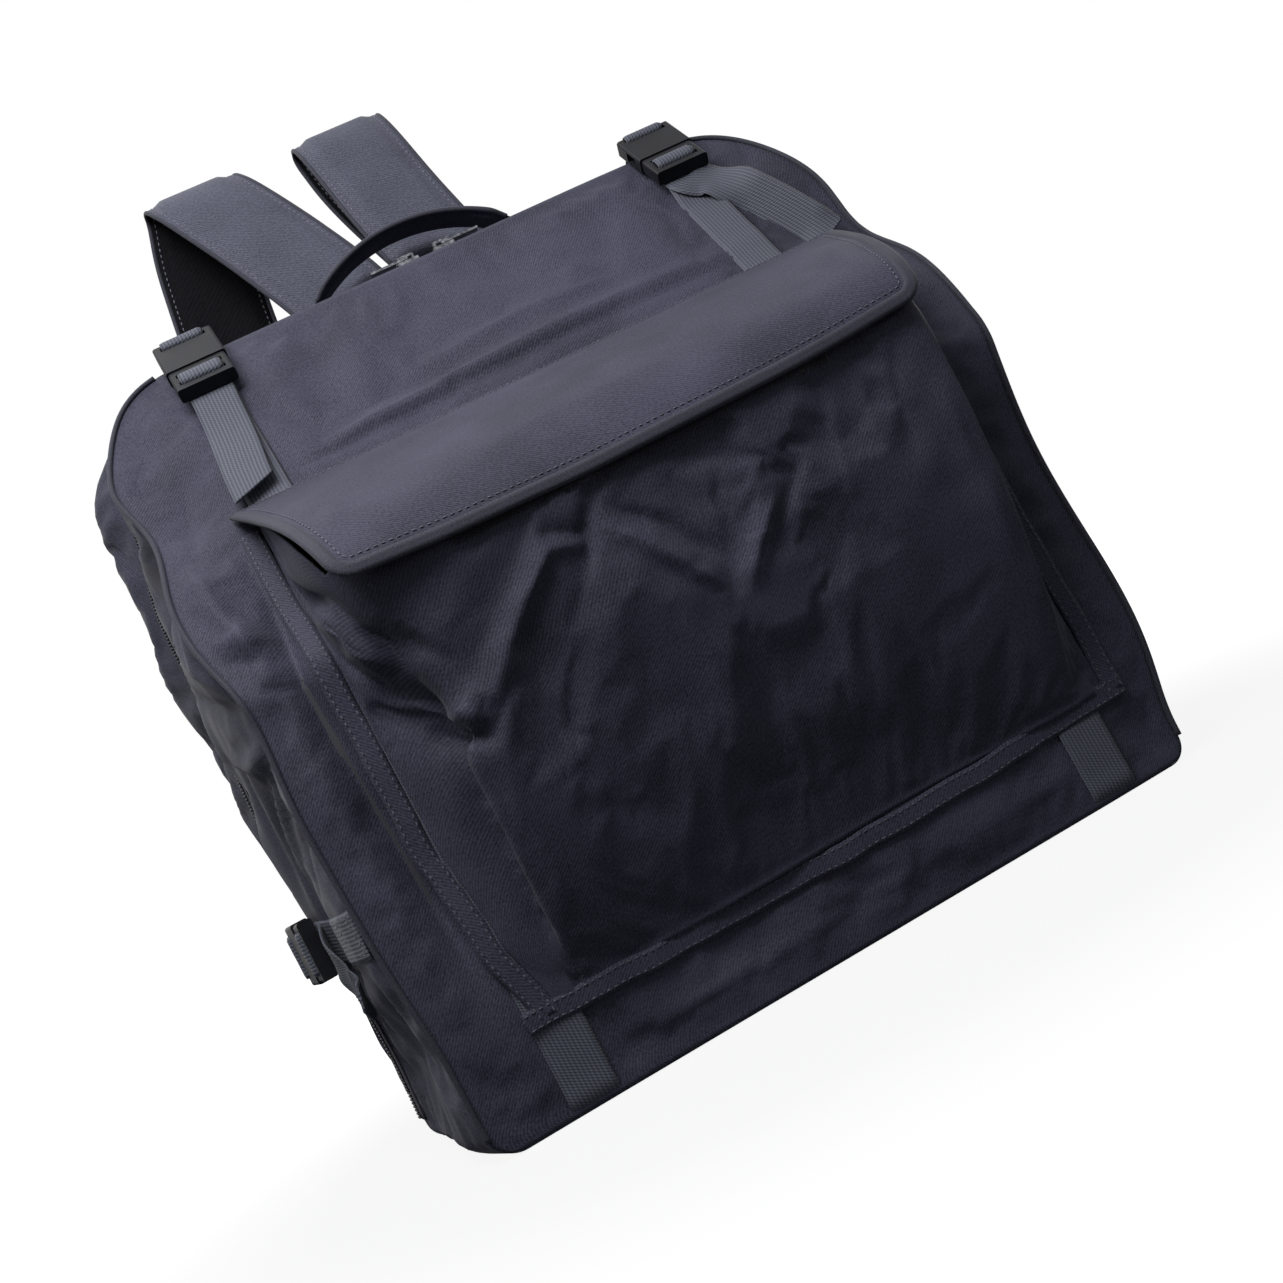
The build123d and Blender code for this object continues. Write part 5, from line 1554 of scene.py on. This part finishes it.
def ribbon(name, path, across, body, stands_for=(), width=30.0, thick=1.7, count=90, turn=None):
    """Webbing along a path, flat across a fixed direction, or turned as it goes."""
    line, length = spread(path, count)
    stations = []
    for i, point in enumerate(line):
        along = (line[min(i + 1, count - 1)] - line[max(i - 1, 0)]).normalized()
        flat = across(i / (count - 1)) if callable(across) else Vector(across)
        flat = (flat - along * flat.dot(along)).normalized()
        if turn:
            flat = Matrix.Rotation(turn(i / (count - 1)), 3, along) @ flat
        stations.append((point, flat, flat.cross(along).normalized()))
    bm = strip(stations, width, thick, 24)
    made = piece(name, bm, WEBBING, body, stands_for)
    print(f"  {name} {length:.0f} mm long")
    return made


# %% Upright webbings and side webbings
def upright_webbings():
    parts = []
    for side in (-1, 1):
        x = side * WEBBING_X
        path = [Vector((x, -122.0, 1.2))] + [on_front(x, z, 1.0)[0] for z in range(8, 497, 12)]
        end = top_buckle(side).at(-26, -7.5)
        path = [p for p in path if (p - end).length > 14] + [end]
        line, _ = spread(path, 220)
        stations = face_out(line, lambda p, i: Vector((0, -1, 0)).lerp(UP_SLOPE, smooth((p.z - 262) / 50)))
        parts.append(strip(stations, 30.0, 1.7, 24))
    return piece("upright_webbings", joined(parts), WEBBING, "front_shell", ["front_webbings"])


def side_spot(side, y, z, lift):
    spot, out = on_surface(side_tree, (side * 420, y, z), (-side, 0, 0), lift)
    if spot is None:
        return Vector((side * (wall_half(y, z) + lift), y, z)), Vector((side, 0, 0))
    return spot, out


def side_webbings():
    parts, rows = [], []
    for side in (-1, 1):
        path = [side_spot(side, y, SIDE_STRAP_Z - 1.5, 1.2)[0] for y in range(-121, -12, 9)]
        path.append(side_buckle(side).at(-30, -8.5))
        path.append(side_buckle(side).at(-22, -7.0))
        line, _ = spread(path, 90)
        stations = face_out(line, lambda p, i: Vector((side, -0.25, 0)))
        parts.append(strip(stations, 30.0, 1.7, 24))
        for y in (-117, -96):
            rows.append(([side_spot(side, y, SIDE_STRAP_Z - 1.5 + k, 2.2)[0] for k in (-12, -6, 0, 6, 12)], lambda p, i, side=side: Vector((side, -0.25, 0))))
        for k in (-11.5, 11.5):
            rows.append(([side_spot(side, y, SIDE_STRAP_Z - 1.5 + k, 2.2)[0] for y in (-117, -110, -103, -96)], lambda p, i, side=side: Vector((side, -0.25, 0))))
    piece("side_webbings_sewn", joined(parts), WEBBING, "front_shell", ["side_webbings"])
    stitches("side_strap_stitches", rows, "front_shell", pitch=3.6, long=2.7)


upright_webbings(), side_webbings()

# %% Loose tails
def tail_wrap(buckle):
    """The webbing's way round the male half's middle bar, ending in the second slot."""
    return [buckle.at(-7.4, -5.2), buckle.at(-7.3, 0), buckle.at(-7.4, 5.0), buckle.at(-9.5, 6.6),
            buckle.at(-13.5, 6.6), buckle.at(-16.4, 5.2), buckle.at(-16.8, 1.0), buckle.at(-16.9, -3.5)]


def cut_end(made, end, along, across, slant, length):
    """Draws the free end's corners in, to a slant or a point."""
    for vert in made.data.vertices:
        away = vert.co / MM - end
        run, wide = away.dot(along), away.dot(across)
        if run < length:
            keep = 1 - run / length
            vert.co += along * (slant(wide) * keep * MM)


def top_tail_left():
    buckle = top_buckle(-1)
    slope = [on_front(x, z, lift)[0] for x, z, lift in ((-186, 409, 10.0), (-184, 429, 8.2), (-182, 450, 6.2), (-180, 470, 4.9))]
    path = slope + [buckle.at(-28, -6.9), buckle.at(-14, -6.4), buckle.at(-9, -6.3)] + tail_wrap(buckle)
    made = ribbon("top_tail_left", path, (1, 0, 0), "top_buckle_male_left", ["top_webbing_tail_left"], count=150)
    cut_end(made, slope[0], Vector((0, cos(SLOPE), sin(SLOPE))), Vector((1, 0, 0)), lambda w: 7.0 * w / 15 + 3.0, 26)
    return made


def top_tail_right():
    buckle = top_buckle(1)
    spots = [on_front(x, z, lift)[0] for x, z, lift in ((233, 414, 7), (226, 431, 10), (214, 452, 11), (201, 470, 10), (190, 484, 8))]
    path = spots + [buckle.at(-26, -7.0), buckle.at(-14, -6.4), buckle.at(-9, -6.3)] + tail_wrap(buckle)

    def turn(t):
        # the free length twists nearly on edge, and flattens again before the buckle
        return radians(-40) * smooth((0.60 - t) / 0.22) * (1 - 0.5 * smooth((0.12 - t) / 0.12))

    return ribbon("top_tail_right", path, (1, 0, 0), "top_buckle_male_right", ["top_webbing_tail_right"], count=170, turn=turn)


def side_tail(side, name):
    buckle = side_buckle(side)
    drop = [side_spot(side, y, z, lift)[0] for y, z, lift in ((-52, 104, 7.0), (-42, 113, 8.0), (-30, 124, 9.5), (-18, 135, 11.0))]
    path = drop + [buckle.at(-29, -6.9, 0), buckle.at(-14, -6.4), buckle.at(-9, -6.3)] + tail_wrap(buckle)
    made = ribbon(f"side_tail_{name}", path, lambda t: Vector((0, 0, 1)).lerp(Vector((0, -0.55, 1)), smooth((0.6 - t) / 0.4)),
                  f"side_buckle_male_{name}", [f"side_webbing_tail_{name}"], count=150)
    start, after = drop[0], drop[1]
    along = (after - start).normalized()
    across = along.cross(Vector((side, -0.2, 0))).normalized()
    cut_end(made, start, along, across, lambda w: 11 * abs(w) / 15, 24)
    return made


top_tail_left(), top_tail_right(), side_tail(-1, "left"), side_tail(1, "right")

# %% Webbing from the sockets to the cover
def socket_loop(buckle):
    """Turn of webbing through a socket's slot and back over its bar."""
    bar = 33.6
    return [buckle.at(bar + 1, -6.9), buckle.at(bar - 1.6, -5.6), buckle.at(bar - 1.8, 0), buckle.at(bar - 1.5, 5.6),
            buckle.at(bar + 0.8, 7.1), buckle.at(bar + 3.2, 7.0), buckle.at(bar + 4.6, 5.0), buckle.at(bar + 4.6, 0), buckle.at(bar + 4.4, -4.8)]


def cover_webbings():
    parts, rows = [], []
    for side in (-1, 1):
        x = side * WEBBING_X
        buckle = top_buckle(side)
        path = socket_loop(buckle)[::-1] + [buckle.at(38.5, -7.2)]
        for y in (70, 78, 86, 95):
            spot, _ = on_surface(cover_tree, (x, y, 640), (0, 0, -1), 1.1)
            path.append(spot if spot is not None else Vector((x, y, 538)))
        line, _ = spread(path, 130)
        parts.append(strip([(p, Vector((1, 0, 0)), o) for p, a, o in face_across(line, Vector((1, 0, 0)))], 30.0, 1.7, 24))
        rows.append(([on_cover_top(x + k, 82, 2.1) for k in (-12, -6, 0, 6, 12)], lambda p, i: Vector((0, 0, 1))))
        rows.append(([on_cover_top(x + k, 93, 2.1) for k in (-12, -6, 0, 6, 12)], lambda p, i: Vector((0, 0, 1))))
        buckle = side_buckle(side)
        path = socket_loop(buckle)[::-1] + [buckle.at(38.5, -7.4)]
        for y in (80, 88, 96, 104, 110):
            spot, _ = on_surface(cover_tree, (side * 420, y, SIDE_STRAP_Z), (-side, 0, 0), 1.1)
            path.append(spot if spot is not None else Vector((side * 277, y, SIDE_STRAP_Z)))
        line, _ = spread(path, 140)
        parts.append(strip([(p, Vector((0, 0, 1)), o) for p, a, o in face_across(line, Vector((0, 0, 1)))], 30.0, 1.7, 24))
    piece("cover_webbings_sewn", joined(parts), WEBBING, "back_cover", ["cover_webbings"])
    stitches("cover_webbing_stitches", rows, "back_cover", pitch=3.6, long=2.7)


def face_across(line, across):
    found = []
    for i, point in enumerate(line):
        along = (line[min(i + 1, len(line) - 1)] - line[max(i - 1, 0)]).normalized()
        found.append((point, across, across.cross(along).normalized()))
    return found


def on_cover_top(x, y, lift):
    spot, _ = on_surface(cover_tree, (x, y, 640), (0, 0, -1), lift)
    return spot if spot is not None else Vector((x, y, 538))


cover_webbings()

# %% Buckles, sliders and pulls keep their CAD shape
def paint(words, finish, round_by=0.5):
    """Gives CAD pieces their finish and a small moulded or cast edge."""
    for name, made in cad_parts.items():
        if any(word in name for word in words):
            for i in range(max(len(made.material_slots), 1)):
                if i < len(made.material_slots):
                    made.material_slots[i].material = finish
                else:
                    made.data.materials.append(finish)
            edge = made.modifiers.new("moulded edge", "BEVEL")
            edge.width, edge.segments, edge.limit_method, edge.angle_limit = round_by * MM, 2, "ANGLE", radians(40)
            print("painted", name)


paint(("buckle_male", "female_buckles", "prong", "ladder_locks"), PLASTIC, 0.55)
paint(("zip_slider", "zip_pull"), GUNMETAL, 0.3)

# %% [markdown]
# ## Shoulder straps, yoke and handle
# Each strap is foam between two cloths, sewn near both edges, so it is thick in the middle
# and thin at its rims. It comes up from the yoke, folds over by itself and hangs down
# behind to its adjuster. The handle is a padded arch of the same make, with piped edges.

# %% Shoulder straps
BEHIND = [(7.5, -115), (7.5, -30), (14, 25), (26, 85), (46, 143), (62, 168), (76, 174), (86, 163), (88, 115), (78, 5), (55, -155), (35, -295), (20, -385), (16, -410)]
ACROSS = {
    "left": [-42, -44, -52, -75, -100, -111, -114, -116, -128, -142, -147, -149, -150, -150],
    "right": [42, 40, 31, 20, 14, 12, 12, 13, 24, 60, 105, 135, 148, 150],
}


def shoulder_strap(name):
    path = [Vector((x, Y_BACK + y, HEIGHT + z)) for x, (y, z) in zip(ACROSS[name], BEHIND)]
    line, length = spread(path, 300)
    wobble = [noise.noise(Vector((i / 38, 7.0 if name == "left" else 17.0, 0))) for i in range(300)]
    stations = []
    for i, point in enumerate(line):
        along = (line[min(i + 1, 299)] - line[max(i - 1, 0)]).normalized()
        lean = Vector((1, 0, 0)) - along * along.x * 0.35
        across = lean.normalized()
        out = across.cross(along).normalized()
        stations.append((point + out * wobble[i] * 0.8, across, out))

    def padded_section(share, i):
        rim = 1 - abs(share)
        end = smooth(min(i, 299 - i) / 6)
        return 1.3 * min(1, (rim / 0.02 + 0.1)) ** 0.5 + 3.1 * smooth((rim - 0.17) / 0.22) * (0.35 + 0.65 * end)

    # the strap faces take the lightened cloth, which is painted light
    made = piece(f"padded_strap_{name}", strip(stations, 75.0, 9.0, 44, padded_section), STRAP_CLOTH_PAINTED_LIGHT, "back_cover", [f"shoulder_strap_{name}"])
    # faces on the side worn against the body take the near-black mesh, which is painted shade
    made.data.materials.append(STRAP_BACK_MESH_PAINTED_SHADE)        # spacer mesh on the side worn against the body
    for face in made.data.polygons:
        if face.normal.dot(nearest_out(face.center / MM, stations)) < -0.2:
            face.material_index = 1
    rows = []
    for share in (-0.86, 0.86):
        for face in (-1, 1):
            rows.append(([m + a * share * 37.5 + o * face * 1.25 for m, a, o in stations[4:296:2]],
                         lambda p, i, face=face, line=stations: nearest_out(p, line) * face))
    stitches(f"strap_stitches_{name}", rows, "back_cover", pitch=4.8, long=3.4, wide=1.0)
    for share in (-0.985, 0.985):
        edge = [m + a * share * 37.5 for m, a, o in stations[1:299]]
        piece(f"strap_edge_{name}_{'outer' if share > 0 else 'inner'}", tube(edge, 1.7, 8), TAPE, "back_cover")
    return made


def nearest_out(point, stations):
    """The way out of a strap at the station nearest to a point."""
    best = min(stations[::4], key=lambda s: (s[0] - point).length_squared)
    return best[2]


shoulder_strap("left"), shoulder_strap("right")

# %% Yoke, adjusters' webbing and corner tabs
def yoke():
    def place(u, v):
        x, z = lerp(-100, 100, u), lerp(420, 505, v)
        rim = min(100 - abs(x), z - 420, 505 - z)
        return Vector((x, Y_BACK + 3.0 - 1.6 * (1 - smooth(rim / 3)) + 0.4 * noise.noise(Vector((x / 30, z / 30, 6))), z))

    piece("yoke_patch", laid_grid(80, 36, place, (200, 85)), CLOTH, "back_cover", ["strap_yoke"], thick=2.2)
    rows = []
    for inset in (4, 9):
        w, low, high = 100 - inset, 420 + inset, 505 - inset
        for a, b in (((-w, low), (w, low)), ((w, low), (w, high)), ((w, high), (-w, high)), ((-w, high), (-w, low))):
            rows.append(([Vector((lerp(a[0], b[0], t / 10), Y_BACK + 3.2, lerp(a[1], b[1], t / 10))) for t in range(11)], lambda p, i: Vector((0, 1, 0))))
    stitches("yoke_stitches", rows, "back_cover")


def lower_webbing():
    parts = []
    for side in (-1, 1):
        path = [Vector((side * 150, 141, 96)), Vector((side * 150, 137.6, 102)), Vector((side * 152, 136.5, 92)), Vector((side * 178, 133.0, 88)),
                Vector((side * 200, 129.6, 78)), Vector((side * 214, 128.2, 69))]
        path = path[1:]
        parts.append(strip([(p, a, o) for p, a, o in face_out(spread(path, 60)[0], lambda p, i: Vector((0, 1, 0.1)))], 25.0, 1.6, 20))
    tabs = []
    for side in (-1, 1):
        a, b, c = (side * 232, 51), (side * 232, 85), (side * 181, 85)

        def place(u, v):
            x = lerp(a[0], lerp(b[0], c[0], u), v)
            z = lerp(a[1], lerp(b[1], c[1], u), v)
            return Vector((x, Y_BACK + 2.0, z))

        tab = laid_grid(12, 12, place, (50, 34))
        bmesh.ops.remove_doubles(tab, verts=tab.verts, dist=0.00002)
        tabs.append(tab)
    piece("lower_webbing", joined(parts), WEBBING, "back_cover", ["lower_webbings"])
    piece("corner_tabs", joined(tabs), CLOTH, "back_cover", thick=1.8)
    rows = []
    for side in (-1, 1):
        for a, b in (((228, 58), (228, 81)), ((228, 81), (190, 81)), ((190, 81), (228, 58))):
            rows.append(([Vector((side * lerp(a[0], b[0], t / 6), Y_BACK + 2.2, lerp(a[1], b[1], t / 6))) for t in range(7)], lambda p, i: Vector((0, 1, 0))))
    stitches("tab_stitches", rows, "back_cover", pitch=3.8)


yoke(), lower_webbing()

# %% Carry handle
HANDLE_HALF, HANDLE_Y, HANDLE_AXIS = 90.0, 109.0, 545.55
HANDLE_TOP = HANDLE_AXIS + 42.0


def handle_path(count):
    """Middle line of the padded arch, from the left patch to the right one."""
    rise = HANDLE_TOP - 4 - HANDLE_AXIS
    radius = (HANDLE_HALF**2 + rise**2) / (2 * rise)
    reach = atan2(HANDLE_HALF, radius - rise)
    points = []
    for i in range(count):
        a = lerp(-reach, reach, i / (count - 1))
        points.append(Vector((radius * sin(a), HANDLE_Y, HANDLE_AXIS + rise - radius * (1 - cos(a)))))
    return points


def carry_handle():
    line = handle_path(121)

    def width(i):
        x = abs(line[min(max(i, 0), 120)].x)
        return lerp(31.0, 18.0, smooth((x - 66) / 14))

    def padded_section(share, i):
        x = abs(line[min(max(i, 0), 120)].x)
        full = lerp(3.9, 2.0, smooth((x - 66) / 14))
        rim = 1 - abs(share)
        return 1.0 * min(1, rim / 0.03 + 0.15) ** 0.5 + (full - 1.0) * smooth((rim - 0.12) / 0.35)

    stations = face_out(line, lambda p, i: Vector((p.x * 0.3, 0, p.z - 440)))
    grip = piece("handle_padded", strip(stations, width, 8.0, 40, padded_section), CLOTH, "handle", ["handle_grip"])
    ends = []
    for side in (-1, 1):
        x = side * HANDLE_HALF
        loop = [Vector((x - side * 1.0, HANDLE_Y, HANDLE_AXIS + 4)), Vector((x, HANDLE_Y, HANDLE_AXIS - 1)), Vector((x + side * 1.4, HANDLE_Y, HANDLE_AXIS - 7.0))]
        ends.append(strip(face_across(spread(loop, 24)[0], Vector((0, 1, 0))), 17.0, 3.4, 16))
    piece("handle_ends", joined(ends), WEBBING, "handle")
    cords, rows = [], []
    for share in (-1, 1):
        edge = [m + a * share * (width(i) / 2 - 0.4) for i, (m, a, o) in enumerate(stations)][10:111]
        cords.append(tube(edge, 1.9, 10))
        for face in (-1, 1):
            rows.append(([m + a * share * (width(i) / 2 - 4.4) + o * face * 1.6 for i, (m, a, o) in enumerate(stations)][12:109:3],
                         lambda p, i, face=face: Vector((p.x * 0.3, 0, p.z - 440)).normalized() * face))
    piece("handle_piping", joined(cords), TAPE, "handle")
    stitches("handle_stitches", rows, "handle")


def patches():
    parts, rows = [], []
    for side in (-1, 1):
        def place(u, v):
            x, y = side * HANDLE_HALF + lerp(-14, 14, u), HANDLE_Y + lerp(-14, 14, v)
            return on_cover_top(x, y, 1.9)

        parts.append(laid_grid(14, 14, place, (28, 28)))
        for k in (-10.5, 10.5):
            rows.append(([on_cover_top(side * HANDLE_HALF + k, HANDLE_Y + t, 2.1) for t in (-10, -5, 0, 5, 10)], lambda p, i: Vector((0, 0.3, 1)).normalized()))
            rows.append(([on_cover_top(side * HANDLE_HALF + t, HANDLE_Y + k, 2.1) for t in (-10, -5, 0, 5, 10)], lambda p, i: Vector((0, 0.3, 1)).normalized()))
    piece("handle_patches_sewn", joined(parts), CLOTH, "back_cover", ["handle_patches"], thick=1.8)
    stitches("patch_stitches", rows, "back_cover", pitch=3.4, long=2.6)


carry_handle(), patches()

# %% [markdown]
# ## Look and finish
# The picture uses the plain Standard view, so that white paper stays white.

# %% Finish
scene.view_settings.view_transform = "Standard"
